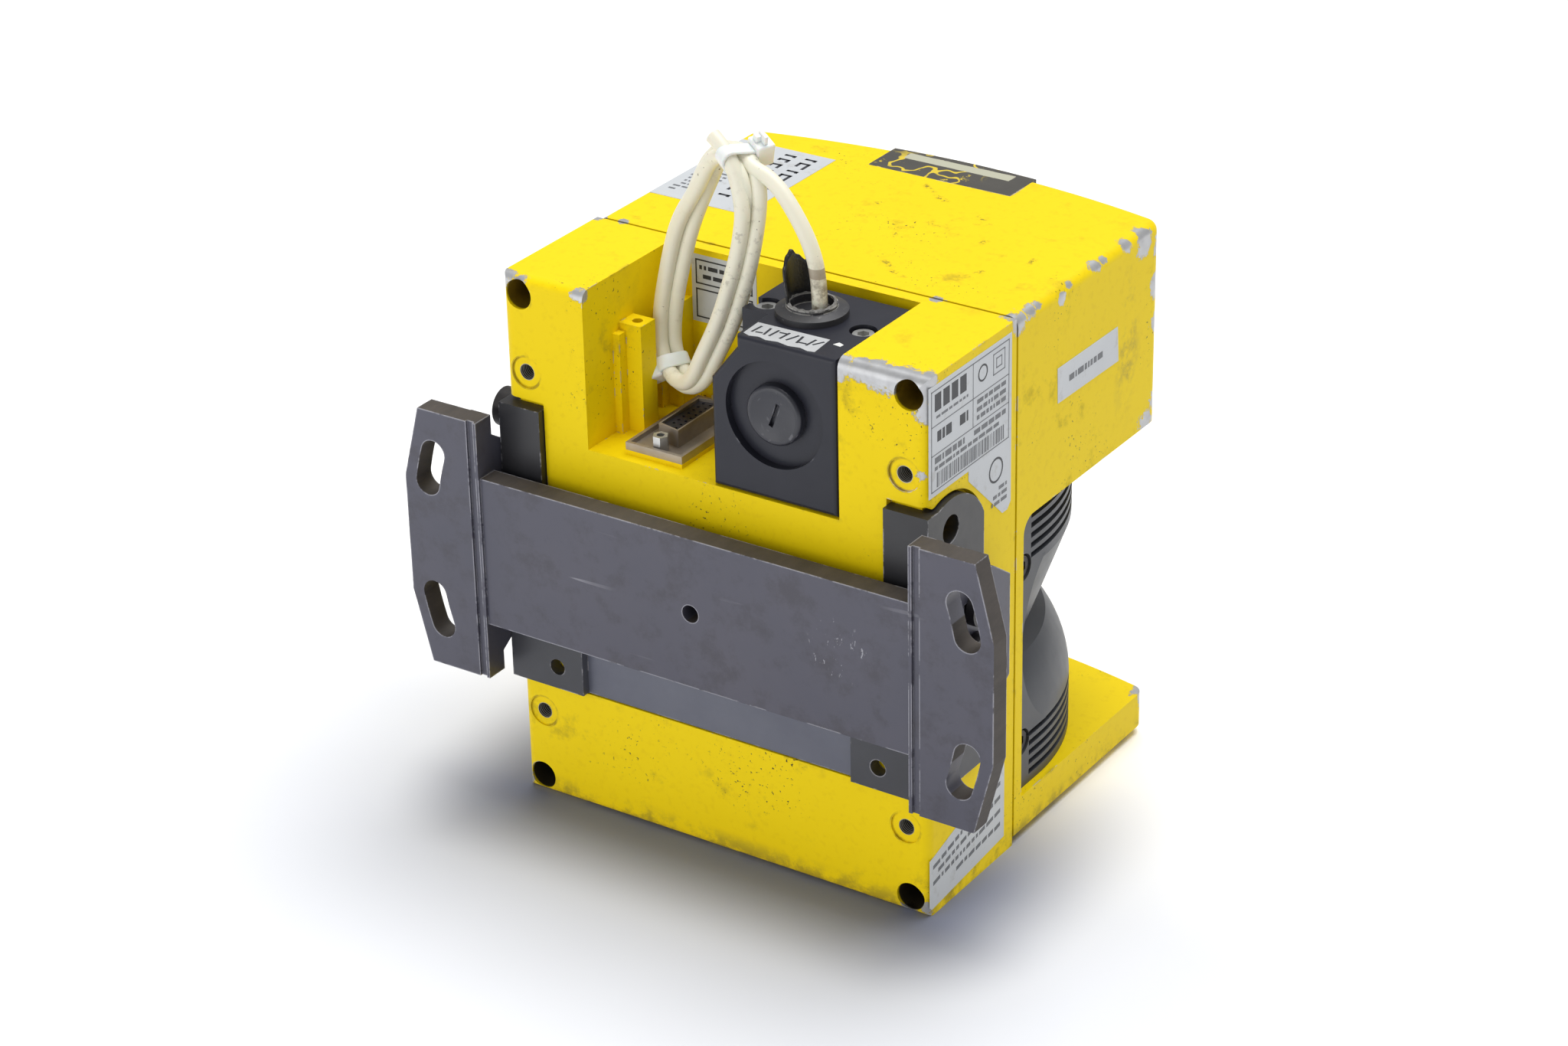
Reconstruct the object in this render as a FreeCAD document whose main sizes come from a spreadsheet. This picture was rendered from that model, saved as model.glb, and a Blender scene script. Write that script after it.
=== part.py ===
# Safety laser scanner with its connector plug, coiled lead and two-piece wall bracket.
# Millimetres. +Z is up, the scan window faces -Y, the connectors and bracket face +Y.
# The origin is the middle of the underside, below the axis that the mirror turns about.
import FreeCAD, Part
import math
import os
import Sketcher

doc = FreeCAD.newDocument("SafetyScanner")
sheet = doc.addObject("Spreadsheet::Sheet", "Sizes")
nodes = []


class Size:
    """A length that carries its number and the sheet expression it comes from."""

    def __init__(self, value, text):
        self.value = float(value)
        self.text = text

    def __add__(self, other):
        other = as_size(other)
        return Size(self.value + other.value, "(%s + %s)" % (self.text, other.text))

    __radd__ = __add__

    def __sub__(self, other):
        other = as_size(other)
        return Size(self.value - other.value, "(%s - %s)" % (self.text, other.text))

    def __rsub__(self, other):
        return as_size(other) - self

    def __mul__(self, factor):
        return Size(self.value * factor, "(%s * %s)" % (self.text, repr(factor)))

    __rmul__ = __mul__

    def __truediv__(self, factor):
        return Size(self.value / factor, "(%s / %s)" % (self.text, repr(factor)))

    def __neg__(self):
        return Size(-self.value, "(0 - %s)" % self.text)


def as_size(number):
    if isinstance(number, Size):
        return number
    return Size(number, repr(float(number)))


def size(alias, number):
    """One driving dimension: a row of the sheet with its alias."""
    size.row = getattr(size, "row", 0) + 1
    sheet.set("A%d" % size.row, alias)
    sheet.set("B%d" % size.row, str(number))
    sheet.setAlias("B%d" % size.row, alias)
    return Size(number, "Sizes." + alias)


# Housing
housing_width = size("housing_width", 155)
housing_height = size("housing_height", 185)
rear_depth = size("rear_depth", 52)
front_depth = size("front_depth", 90)
seam_y = size("seam_y", 19)
seam_gap = size("seam_gap", 1)
gasket_inset = size("gasket_inset", 0.8)
gasket_width = size("gasket_width", 4)
wall = size("wall", 6.5)
pocket_overrun = size("pocket_overrun", 10)
edge_round = size("edge_round", 3.5)
half_width = housing_width / 2
rear_y = seam_y + rear_depth
corner_y = seam_y - front_depth
rear_front_y = seam_y + seam_gap / 2
front_rear_y = seam_y - seam_gap / 2

# Connector recess in the rear housing
recess_width = size("recess_width", 93)
recess_depth = size("recess_depth", 53.5)
recess_back_wall = size("recess_back_wall", 4.5)
recess_half = recess_width / 2
recess_floor_z = housing_height - recess_depth
recess_back_y = rear_front_y + recess_back_wall
floor_thickness = size("floor_thickness", 6)

# Screws that join the two housings, and the four threaded holes beside them
corner_screw_edge = size("corner_screw_edge", 6.5)
corner_screw_inset = size("corner_screw_inset", 6.2)
screw_hole_radius = size("screw_hole_radius", 2.75)
screw_thread_radius = size("screw_thread_radius", 2.5)
counterbore_radius = size("counterbore_radius", 4.9)
counterbore_depth = size("counterbore_depth", 30)
screw_head_radius = size("screw_head_radius", 4.25)
screw_head_height = size("screw_head_height", 5)
screw_grip = size("screw_grip", 12)
threaded_edge = size("threaded_edge", 8.1)
threaded_low_z = size("threaded_low_z", 30.9)
threaded_drop = size("threaded_drop", 32.4)
threaded_radius = size("threaded_radius", 2.6)
threaded_depth = size("threaded_depth", 12)
spotface_radius = size("spotface_radius", 5.4)
spotface_depth = size("spotface_depth", 0.6)
boss_width = size("boss_width", 16.5)
boss_top_z = size("boss_top_z", 42)
threaded_high_z = housing_height - threaded_drop
corner_screw_x = half_width - corner_screw_edge
threaded_x = half_width - threaded_edge
boss_inner_x = half_width - boss_width

# Feet
foot_relief = size("foot_relief", 1.2)
corner_foot_width = size("corner_foot_width", 23)
centre_foot_half = size("centre_foot_half", 5.6)
foot_length = size("foot_length", 30)
foot_inner_x = half_width - corner_foot_width

# Front housing: hood, foot plate and the strip between them
hood_bulge = size("hood_bulge", 9.5)
hood_height = size("hood_height", 70)
hood_skirt_round = size("hood_skirt_round", 6)
base_bevel = size("base_bevel", 3)
hood_shell = size("hood_shell", 6)
base_height = size("base_height", 15.4)
base_setback = size("base_setback", 3.5)
strip_depth = size("strip_depth", 4.5)
window_opening_half = size("window_opening_half", 56)
plan_corner_radius = size("plan_corner_radius", 5)
front_y = corner_y - hood_bulge
hood_bottom_z = housing_height - hood_height
strip_front_y = front_rear_y - strip_depth

# Optics cover: an hourglass turned about the scan axis, drawn straight back to the strip
scan_y = size("scan_y", -1)
cover_inset = size("cover_inset", 2.5)
cover_wall = size("cover_wall", 3)
cover_gap = size("cover_gap", 0.3)
seal_inset = size("seal_inset", 0.6)
seal_height = size("seal_height", 1)
waist_setback = size("waist_setback", 13)
waist_z = size("waist_z", 58.5)
dome_setback = size("dome_setback", 8)
dome_swell = size("dome_swell", 2)
dome_drop = size("dome_drop", 2.5)
lower_land = size("lower_land", 18.6)
upper_land = size("upper_land", 21)
cover_groove_depth = size("cover_groove_depth", 1.6)
cover_groove_width = size("cover_groove_width", 1.9)
cover_groove_pitch = size("cover_groove_pitch", 3.5)
cover_groove_margin = size("cover_groove_margin", 3)
cover_groove_end_y = size("cover_groove_end_y", 5)
side_panel_reach = size("side_panel_reach", 7)
side_panel_top_reach = size("side_panel_top_reach", 3)
side_panel_middle_y = size("side_panel_middle_y", 10)
cover_screw_y = size("cover_screw_y", 9.6)
cover_screw_rise = size("cover_screw_rise", 1.5)
cover_screw_radius = size("cover_screw_radius", 3.9)
cover_screw_height = size("cover_screw_height", 2.2)
cover_screw_shank = size("cover_screw_shank", 1.9)
cover_screw_grip = size("cover_screw_grip", 7)
cover_pocket_radius = size("cover_pocket_radius", 4.7)
cover_pocket_depth = size("cover_pocket_depth", 2.8)
cover_boss_radius = size("cover_boss_radius", 4.1)
cover_radius = half_width - cover_inset
waist_radius = cover_radius - waist_setback
lower_land_z = base_height + lower_land
upper_land_z = hood_bottom_z - upper_land


def bind(obj, path, value):
    obj.setExpression(path, as_size(value).text)


def node(obj, label):
    obj.Label = label
    nodes.append((label, obj))
    return obj


def box(x0, x1, y0, y1, z0, z1):
    """A block between two corners."""
    obj = doc.addObject("Part::Box", "Block")
    for path, value in (("Length", as_size(x1) - x0), ("Width", as_size(y1) - y0),
                        ("Height", as_size(z1) - z0), (".Placement.Base.x", x0),
                        (".Placement.Base.y", y0), (".Placement.Base.z", z0)):
        bind(obj, path, value)
    return obj


AXIS_TURN = {"x": FreeCAD.Rotation(FreeCAD.Vector(0, 1, 0), 90),
             "y": FreeCAD.Rotation(FreeCAD.Vector(1, 0, 0), -90),
             "z": FreeCAD.Rotation()}


def place(obj, axis, x, y, z):
    obj.Placement = FreeCAD.Placement(FreeCAD.Vector(), AXIS_TURN[axis])
    bind(obj, ".Placement.Base.x", x)
    bind(obj, ".Placement.Base.y", y)
    bind(obj, ".Placement.Base.z", z)
    return obj


def cylinder(axis, x, y, z, radius, length):
    """A round bar that starts at a point and runs along one axis."""
    obj = doc.addObject("Part::Cylinder", "Round")
    bind(obj, "Radius", radius)
    bind(obj, "Height", length)
    return place(obj, axis, x, y, z)


def hex_bar(axis, x, y, z, corner_radius, length):
    obj = doc.addObject("Part::Prism", "Hexagon")
    obj.Polygon = 6
    bind(obj, "Circumradius", corner_radius)
    bind(obj, "Height", length)
    return place(obj, axis, x, y, z)


def fuse(*parts):
    if len(parts) == 1:
        return parts[0]
    obj = doc.addObject("Part::MultiFuse", "Joined")
    obj.Shapes = list(parts)
    return obj


def cut(base, *tools):
    obj = doc.addObject("Part::Cut", "Trimmed")
    obj.Base = base
    obj.Tool = fuse(*tools)
    return obj


def group(*parts):
    """Several separate solids that make one node."""
    obj = doc.addObject("Part::Compound", "Set")
    obj.Links = list(parts)
    return obj


def origin_plane(body, role):
    for feature in body.Origin.OriginFeatures:
        if feature.Role == role:
            return feature
    raise ValueError(role)


def new_body(label):
    body = doc.addObject("PartDesign::Body", label)
    return node(body, label)


def vector(point):
    return FreeCAD.Vector(as_size(point[0]).value, as_size(point[1]).value, 0)


def pin_point(sketch, geometry, end, point):
    """Ties one sketch point to the sheet by its distances from the sketch origin."""
    for kind, value in (("DistanceX", point[0]), ("DistanceY", point[1])):
        value = as_size(value)
        index = sketch.addConstraint(Sketcher.Constraint(kind, -1, 1, geometry, end, value.value))
        sketch.setExpression("Constraints[%d]" % index, value.text)


def turns_left(start, middle, end):
    one, two = middle - start, end - middle
    return one.x * two.y - one.y * two.x > 0


def draw_outline(sketch, points):
    """Closed outline. A point may carry a third entry: a middle point of the arc that follows it."""
    count = len(points)
    first = sketch.GeometryCount
    start_of, end_of = [], []
    for number, point in enumerate(points):
        start, end = vector(point), vector(points[(number + 1) % count])
        if len(point) == 3 and turns_left(start, vector(point[2]), end):
            sketch.addGeometry(Part.Arc(start, vector(point[2]), end))
        elif len(point) == 3:
            sketch.addGeometry(Part.Arc(end, vector(point[2]), start))
            start_of.append(2)
            end_of.append(1)
            continue
        else:
            sketch.addGeometry(Part.LineSegment(start, end))
        start_of.append(1)
        end_of.append(2)
    for number, point in enumerate(points):
        before = (number - 1) % count
        sketch.addConstraint(Sketcher.Constraint("Coincident", first + before, end_of[before],
                                                 first + number, start_of[number]))
        pin_point(sketch, first + number, start_of[number], point)
    for number, point in enumerate(points):
        if len(point) == 3:
            mark = sketch.addGeometry(Part.Point(vector(point[2])), True)
            sketch.addConstraint(Sketcher.Constraint("PointOnObject", mark, 1, first + number))
            pin_point(sketch, mark, 1, point[2])


def draw_circle(sketch, x, y, radius):
    radius = as_size(radius)
    circle = Part.Circle(vector((x, y)), FreeCAD.Vector(0, 0, 1), radius.value)
    index = sketch.addGeometry(circle)
    pin_point(sketch, index, 3, (x, y))
    constraint = sketch.addConstraint(Sketcher.Constraint("Radius", index, radius.value))
    sketch.setExpression("Constraints[%d]" % constraint, radius.text)


def new_sketch(body, plane, offset, shapes):
    """Shapes are outlines (lists of points) or circles (x, y, radius)."""
    sketch = body.newObject("Sketcher::SketchObject", "Sketch")
    sketch.AttachmentSupport = [(origin_plane(body, plane), "")]
    sketch.MapMode = "FlatFace"
    bind(sketch, ".AttachmentOffset.Base.z", offset)
    for shape in shapes:
        if isinstance(shape, list):
            draw_outline(sketch, shape)
        else:
            draw_circle(sketch, *shape)
    return sketch


def feature(body, kind, sketch):
    obj = body.newObject("PartDesign::" + kind, kind)
    obj.Profile = (sketch, [""])
    return obj


def slab(body, axis, low, high, *shapes):
    """Adds the shapes, drawn square to an axis, between two heights on it."""
    low, high = as_size(low), as_size(high)
    plane = {"x": "YZ_Plane", "y": "XZ_Plane", "z": "XY_Plane"}[axis]
    start = -high if axis == "y" else low
    pad = feature(body, "Pad", new_sketch(body, plane, start, shapes))
    bind(pad, "Length", high - low)
    return pad


def hollow(body, axis, low, high, *shapes):
    """Takes the shapes away between two heights on an axis."""
    low, high = as_size(low), as_size(high)
    plane = {"x": "YZ_Plane", "y": "XZ_Plane", "z": "XY_Plane"}[axis]
    start = -low if axis == "y" else high
    doc.recompute()
    before = body.Shape.Volume
    pocket = feature(body, "Pocket", new_sketch(body, plane, start, shapes))
    bind(pocket, "Length", high - low)
    doc.recompute()
    if not body.Shape.Volume < before - 1e-6:
        raise ValueError("a pocket in %s cuts nothing" % body.Label)
    return pocket


def rectangle(x0, x1, y0, y1):
    return [(x0, y0), (x1, y0), (x1, y1), (x0, y1)]


def round_edges(body, radius, chosen, kind="Fillet"):
    """Rounds or bevels the edges that a test picks."""
    doc.recompute()
    base = body.Tip
    names = ["Edge%d" % (number + 1) for number, edge in enumerate(base.Shape.Edges) if chosen(edge)]
    if not names:
        raise ValueError("no edge to round in " + body.Label)
    obj = body.newObject("PartDesign::" + kind, kind)
    obj.Base = (base, names)
    bind(obj, "Radius" if kind == "Fillet" else "Size", radius)
    return obj


def across(side, inner, outer):
    """The two ends, in order, of a stretch that lies on one side of the middle plane."""
    return (inner, outer) if side > 0 else (-as_size(outer), -as_size(inner))


def near(a, b):
    return abs(a - as_size(b).value) < 0.01


def ends_at(edge, axis, value):
    """True when the whole edge lies at one value of an axis."""
    return all(near(getattr(v.Point, axis), value) for v in edge.Vertexes) and edge.Length > 0.5 and \
        near(getattr(edge.CenterOfMass, axis), value)


# Wall bracket and yoke
bracket_thickness = size("bracket_thickness", 7.5)
bracket_gap = size("bracket_gap", 6)
plate_rise = size("plate_rise", 0.1)
plate_height = size("plate_height", 52)
flange_inset = size("flange_inset", 4)
flange_step = size("flange_step", 0.9)
flange_gap = size("flange_gap", 0.3)
flange_taper = size("flange_taper", 6.5)
groove_x = size("groove_x", 82)
groove_width = size("groove_width", 2.6)
groove_depth = size("groove_depth", 0.9)
flange_side_half = size("flange_side_half", 20.5)
slot_radius = size("slot_radius", 4.6)
slot_edge = size("slot_edge", 2.4)
slot_arc_radius = size("slot_arc_radius", 102)
slot_start_angle = size("slot_start_angle", 11.4)
slot_end_angle = size("slot_end_angle", 17.5)
plate_hole_radius = size("plate_hole_radius", 3)
arm_root_y = size("arm_root_y", 77.5)
arm_root_inset = size("arm_root_inset", 10.8)
arm_step_y = size("arm_step_y", 65.5)
arm_step_inset = size("arm_step_inset", 18.6)
arm_shoulder_half = size("arm_shoulder_half", 24.5)
arm_nose_half = size("arm_nose_half", 17.5)
arm_nose_y = size("arm_nose_y", 38.5)
arm_shoulder_y = size("arm_shoulder_y", 48.5)
pivot_y = size("pivot_y", 60.4)
lock_offset = size("lock_offset", 15.5)
pivot_hole_radius = size("pivot_hole_radius", 4.1)
pivot_pin_radius = size("pivot_pin_radius", 4.05)
lock_radius = size("lock_radius", 3)
lock_slot_half = size("lock_slot_half", 2.2)
yoke_thickness = size("yoke_thickness", 4.8)
yoke_foot_gap = size("yoke_foot_gap", 43)
yoke_clearance = size("yoke_clearance", 0.3)
yoke_proud = size("yoke_proud", 2.5)
tab_inner_x = size("tab_inner_x", 63.5)
tab_rise = size("tab_rise", 15.4)
foot_pad_inner_x = size("foot_pad_inner_x", 51)
foot_pad_drop = size("foot_pad_drop", 30.6)
yoke_web_recess = size("yoke_web_recess", 3)
yoke_side_proud = size("yoke_side_proud", 1.7)
ear_front_y = size("ear_front_y", 41)
ear_hole_drop = size("ear_hole_drop", 9.6)
ear_hole_radius = size("ear_hole_radius", 4.6)
side_thread_radius = size("side_thread_radius", 4)
side_thread_depth = size("side_thread_depth", 12)
yoke_screw_drop = size("yoke_screw_drop", 41.7)
yoke_screw_x = size("yoke_screw_x", 61)
yoke_screw_hole = size("yoke_screw_hole", 2.8)
pocket_margin = size("pocket_margin", 1)
ear_bevel = size("ear_bevel", 12)
ear_sag = size("ear_sag", 1)
ear_flat = size("ear_flat", 4)
head_gap = size("head_gap", 0.3)
pivot_head_radius = size("pivot_head_radius", 7)
pivot_head_height = size("pivot_head_height", 3.5)
lock_head_radius = size("lock_head_radius", 5.2)
lock_head_height = size("lock_head_height", 3)
side_head_radius = size("side_head_radius", 6.5)
side_head_height = size("side_head_height", 8)
side_thread_spare = size("side_thread_spare", 2)
plate_middle_z = housing_height / 2 + plate_rise
yoke_half_height = plate_middle_z - yoke_foot_gap
flange_height = (yoke_half_height - flange_inset) * 2
arm_root_half = yoke_half_height - arm_root_inset
arm_step_half = yoke_half_height - arm_step_inset
yoke_outer_x = half_width + yoke_side_proud
flange_inner_x = yoke_outer_x + flange_gap
flange_outer_x = slot_arc_radius + slot_radius + slot_edge
flange_end_x = flange_outer_x - flange_taper
tab_bottom_z = plate_middle_z + tab_rise
foot_pad_top_z = plate_middle_z - foot_pad_drop
yoke_screw_z = plate_middle_z - yoke_screw_drop
ear_hole_z = plate_middle_z + yoke_half_height - ear_hole_drop
plate_rear_y = rear_y + bracket_gap + bracket_thickness
plate_front_y = rear_y + bracket_gap
flange_rear_y = plate_rear_y + flange_step
flange_front_y = flange_rear_y - bracket_thickness
yoke_rear_y = rear_y + yoke_proud
yoke_front_y = yoke_rear_y - yoke_thickness
yoke_inner_x = yoke_outer_x - yoke_thickness


# Forms in the connector recess
post_half = size("post_half", 3.9)
post_drop = size("post_drop", 17)
post_fin_width = size("post_fin_width", 2.6)
post_fin_reach = size("post_fin_reach", 3.6)
post_fin_drop = size("post_fin_drop", 2.5)
post_hole_depth = size("post_hole_depth", 10)
post_hole_radius = size("post_hole_radius", 1.7)
post_x = size("post_x", 42.1)
post_y = size("post_y", 48.4)
back_post_y = size("back_post_y", 26.5)
post_top_z = housing_height - post_drop
tray_x = size("tray_x", 24.3)
tray_y = size("tray_y", 47)
tray_width = size("tray_width", 21.2)
tray_length = size("tray_length", 40)
tray_pad_height = size("tray_pad_height", 1.5)
tray_thickness = size("tray_thickness", 2.6)
connector_width = size("connector_width", 8.4)
connector_length = size("connector_length", 25)
connector_height = size("connector_height", 6)
connector_wall = size("connector_wall", 0.6)
connector_taper = size("connector_taper", 1.6)
connector_way = size("connector_way", 0.5)
tray_lip = size("tray_lip", 1.2)
tray_floor = size("tray_floor", 1)
jack_radius = size("jack_radius", 2.6)
jack_thread_radius = size("jack_thread_radius", 1.2)
jack_height = size("jack_height", 5)
jack_inset = size("jack_inset", 4)
pin_radius = size("pin_radius", 0.5)
pin_pitch = size("pin_pitch", 2.7)
pin_depth = size("pin_depth", 4)

# Display on the hood
panel_half = size("panel_half", 27)
panel_rear_y = size("panel_rear_y", -62.5)
panel_thickness = size("panel_thickness", 3)
glass_depth = size("glass_depth", 0.8)
glass_half = size("glass_half", 20)
glass_rear_y = size("glass_rear_y", -73.5)
glass_front_y = size("glass_front_y", -78)

# Plug box
plug_gap = size("plug_gap", 0.8)
plug_width = size("plug_width", 45)
plug_top_gap = size("plug_top_gap", 1)
plug_front_y = size("plug_front_y", 28.5)
plug_shoulder_y = size("plug_shoulder_y", 53)
plug_shoulder_drop = size("plug_shoulder_drop", 16)
plug_bevel = size("plug_bevel", 9.5)
plug_bevel_drop = size("plug_bevel_drop", 4)
plug_round_x = size("plug_round_x", -23.5)
plug_round_drop = size("plug_round_drop", 23.5)
plug_round_radius = size("plug_round_radius", 17.5)
plug_round_depth = size("plug_round_depth", 3)
blank_radius = size("blank_radius", 9.9)
blank_height = size("blank_height", 3.6)
blank_rim = size("blank_rim", 1.4)
blank_dish_radius = size("blank_dish_radius", 28)
blank_dish_depth = size("blank_dish_depth", 1.2)
blank_slot_half = size("blank_slot_half", 4.2)
blank_slot_width = size("blank_slot_width", 1.5)
blank_slot_depth = size("blank_slot_depth", 2.4)
gland_x = size("gland_x", -21.5)
gland_y = size("gland_y", 46)
gland_radius = size("gland_radius", 11.3)
gland_step_radius = size("gland_step_radius", 7.9)
gland_height = size("gland_height", 2)
gland_slope_height = size("gland_slope_height", 1)
gland_rim_height = size("gland_rim_height", 1)
gland_bore = size("gland_bore", 6.7)
shard_wall = size("shard_wall", 1.1)
shard_flare = size("shard_flare", 2.2)
shard_height = size("shard_height", 18)
shard_round = size("shard_round", 9.3)
shard_middle = size("shard_middle", 7.7)
plug_screw_left_x = size("plug_screw_left_x", -5.6)
plug_screw_left_y = size("plug_screw_left_y", 46.5)
plug_screw_right_x = size("plug_screw_right_x", -41.3)
plug_screw_right_y = size("plug_screw_right_y", 48.4)
plug_screw_seat_drop = size("plug_screw_seat_drop", 4.4)
plug_screw_head = size("plug_screw_head", 3.4)
plug_screw_head_height = size("plug_screw_head_height", 3.4)
plug_screw_grip = size("plug_screw_grip", 5)
plug_screw_radius = size("plug_screw_radius", 1.9)
plug_screw_pocket = size("plug_screw_pocket", 4.3)
plug_screw_web = size("plug_screw_web", 2.4)
plug_screw_play = size("plug_screw_play", 0.2)
plug_floor_gap = size("plug_floor_gap", 0.3)
plug_rear_gap = size("plug_rear_gap", 0.2)
plug_edge_round = size("plug_edge_round", 1.5)
plug_top_z = housing_height - plug_top_gap
plug_shoulder_z = plug_top_z - plug_shoulder_drop
plug_bevel_z = plug_top_z - plug_bevel_drop
plug_round_z = plug_top_z - plug_round_drop
plug_screw_seat_z = plug_top_z - plug_screw_seat_drop
plug_right_x = -recess_half + plug_gap
plug_left_x = plug_right_x + plug_width

# Inner optics
motor_radius = size("motor_radius", 18.5)
motor_length = size("motor_length", 36)
shaft_radius = size("shaft_radius", 3)
shaft_clearance = size("shaft_clearance", 0.05)
bearing_radius = size("bearing_radius", 8)
bearing_width = size("bearing_width", 5)
running_gap = size("running_gap", 0.5)
encoder_radius = size("encoder_radius", 19)
encoder_thickness = size("encoder_thickness", 1.2)
reader_gap = size("reader_gap", 2)
reader_width = size("reader_width", 6)
reader_half = size("reader_half", 5)
reader_height = size("reader_height", 8)
reader_slot = size("reader_slot", 1.5)
encoder_drop = size("encoder_drop", 11)
mirror_head_radius = size("mirror_head_radius", 21)
mirror_drop = size("mirror_drop", 7)
mirror_gap = size("mirror_gap", 14)
mirror_thickness = size("mirror_thickness", 2)
barrel_radius = size("barrel_radius", 22)
barrel_wall = size("barrel_wall", 2.5)
barrel_top_z = size("barrel_top_z", 56)
lens_thickness = size("lens_thickness", 6)
laser_radius = size("laser_radius", 5)
laser_drop = size("laser_drop", 14)
laser_length = size("laser_length", 26)
chip_height = size("chip_height", 3)
detector_half = size("detector_half", 5)
laser_post_radius = size("laser_post_radius", 2)
board_thickness = size("board_thickness", 1.6)
board_side_gap = size("board_side_gap", 13.5)
board_top_gap = size("board_top_gap", 7.5)
board_bottom_z = size("board_bottom_z", 48)
board_y = size("board_y", 30)
power_board_y = size("power_board_y", 46)
standoff_radius = size("standoff_radius", 3)
standoff_inset = size("standoff_inset", 7)
chip_size = size("chip_size", 24)
chip_rise = size("chip_rise", 22)
chip_thickness = size("chip_thickness", 2.5)
small_chip_size = size("small_chip_size", 14)
small_chip_offset = size("small_chip_offset", 31)
relay_length = size("relay_length", 28)
relay_size = size("relay_size", 12)
relay_pitch = size("relay_pitch", 20)
capacitor_radius = size("capacitor_radius", 5)
capacitor_length = size("capacitor_length", 14)
capacitor_pitch = size("capacitor_pitch", 14)
capacitor_first_x = size("capacitor_first_x", 6)
interface_margin = size("interface_margin", 3)
interface_drop = size("interface_drop", 2)
encoder_z = housing_height - hood_shell - motor_length - encoder_drop
mirror_top_z = hood_bottom_z - mirror_drop
mirror_bottom_z = barrel_top_z + mirror_gap

# Lead
cord_radius = size("cord_radius", 2.8)
bundle_radius = size("bundle_radius", 5.2)
tie_thickness = size("tie_thickness", 0.7)
tie_width = size("tie_width", 3.5)


def side_outline(margin):
    """Outline of the yoke's side plate seen along X, widened by a margin."""
    top = plate_middle_z + yoke_half_height + margin
    bottom = plate_middle_z - yoke_half_height - margin
    front = ear_front_y - margin
    middle_y = (ear_front_y + rear_y) / 2
    rear = rear_y + pocket_overrun
    return [(rear, bottom), (rear, top - ear_sag), (rear_y - ear_flat, top - ear_sag, (middle_y, top)),
            (front, top - ear_bevel), (front, bottom)]


def rear_outline():
    """Pocket in the rear face behind the yoke, seen along Y."""
    top = plate_middle_z + yoke_half_height + pocket_margin
    bottom = plate_middle_z - yoke_half_height - yoke_clearance
    inner = tab_inner_x - yoke_clearance
    beyond = half_width + pocket_overrun
    return [(-beyond, bottom), (beyond, bottom), (beyond, top), (inner, top), (inner, tab_bottom_z),
            (-inner, tab_bottom_z), (-inner, top), (-beyond, top)]


def rear_housing():
    body = new_body("rear_housing")
    slab(body, "y", rear_front_y, rear_y, rectangle(-half_width, half_width, 0, housing_height))
    round_edges(body, edge_round, lambda e: ends_at(e, "y", rear_y))
    hollow(body, "y", recess_back_y, rear_y + 1,
           rectangle(-recess_half, recess_half, recess_floor_z, housing_height + 1))
    cavity = [(-boss_inner_x, wall), (boss_inner_x, wall), (boss_inner_x, boss_top_z),
              (half_width - wall, boss_top_z), (half_width - wall, recess_floor_z - floor_thickness),
              (wall - half_width, recess_floor_z - floor_thickness), (wall - half_width, boss_top_z),
              (-boss_inner_x, boss_top_z)]
    hollow(body, "y", rear_front_y - 1, rear_y - wall, cavity)
    corners = [(side * corner_screw_x, z) for side in (-1, 1)
               for z in (corner_screw_inset, housing_height - corner_screw_inset)]
    hollow(body, "y", rear_front_y - 1, rear_y + 1, *[(x, z, screw_hole_radius) for x, z in corners])
    hollow(body, "y", rear_y - counterbore_depth, rear_y + 1,
           *[(x, z, counterbore_radius) for x, z in corners])
    threads = [(side * threaded_x, z) for side in (-1, 1) for z in (threaded_low_z, threaded_high_z)]
    hollow(body, "y", rear_y - threaded_depth, rear_y + 1, *[(x, z, threaded_radius) for x, z in threads])
    hollow(body, "y", rear_y - spotface_depth, rear_y + 1, *[(x, z, spotface_radius) for x, z in threads])
    hollow(body, "z", as_size(-1), foot_relief,
           rectangle(centre_foot_half, foot_inner_x, rear_y - foot_length, rear_y + 1),
           rectangle(-foot_inner_x, -centre_foot_half, rear_y - foot_length, rear_y + 1))
    hollow(body, "y", yoke_front_y - yoke_clearance, rear_y + 1, rear_outline())
    for side in (-1, 1):
        inner = yoke_inner_x - yoke_clearance
        low, high = across(side, inner, half_width + 1)
        hollow(body, "x", low, high, side_outline(pocket_margin))
        deep = inner - side_thread_depth
        low, high = across(side, deep, inner + 1)
        hollow(body, "x", low, high, (pivot_y, ear_hole_z, side_thread_radius))
    add_recess_forms(body)
    return body


def add_recess_forms(body):
    """Posts with screw holes on the left wall, the raised pad under the connector, its way through."""
    wall_x = recess_half + 1
    for y in (post_y, back_post_y):
        slab(body, "z", recess_floor_z, post_top_z,
             rectangle(post_x - post_half, wall_x, y - post_half, y + post_half))
        slab(body, "z", recess_floor_z, post_top_z - post_fin_drop,
             rectangle(recess_half - post_fin_width, wall_x, y, y + post_half + post_fin_reach))
    hollow(body, "z", post_top_z - post_hole_depth, post_top_z + 1,
           (post_x, post_y, post_hole_radius), (post_x, back_post_y, post_hole_radius))
    slab(body, "z", recess_floor_z, recess_floor_z + tray_pad_height,
         rectangle(tray_x - tray_width / 2, tray_x + tray_width / 2,
                   tray_y - tray_length / 2, tray_y + tray_length / 2))
    hollow(body, "z", recess_floor_z - floor_thickness - 1, recess_floor_z + tray_pad_height + 1,
           connector_outline(connector_way))
    hollow(body, "z", recess_floor_z - floor_thickness - 1, recess_floor_z + 1,
           (plug_screw_left_x, plug_screw_left_y, plug_screw_radius),
           (plug_screw_right_x, plug_screw_right_y, plug_screw_radius))


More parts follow.
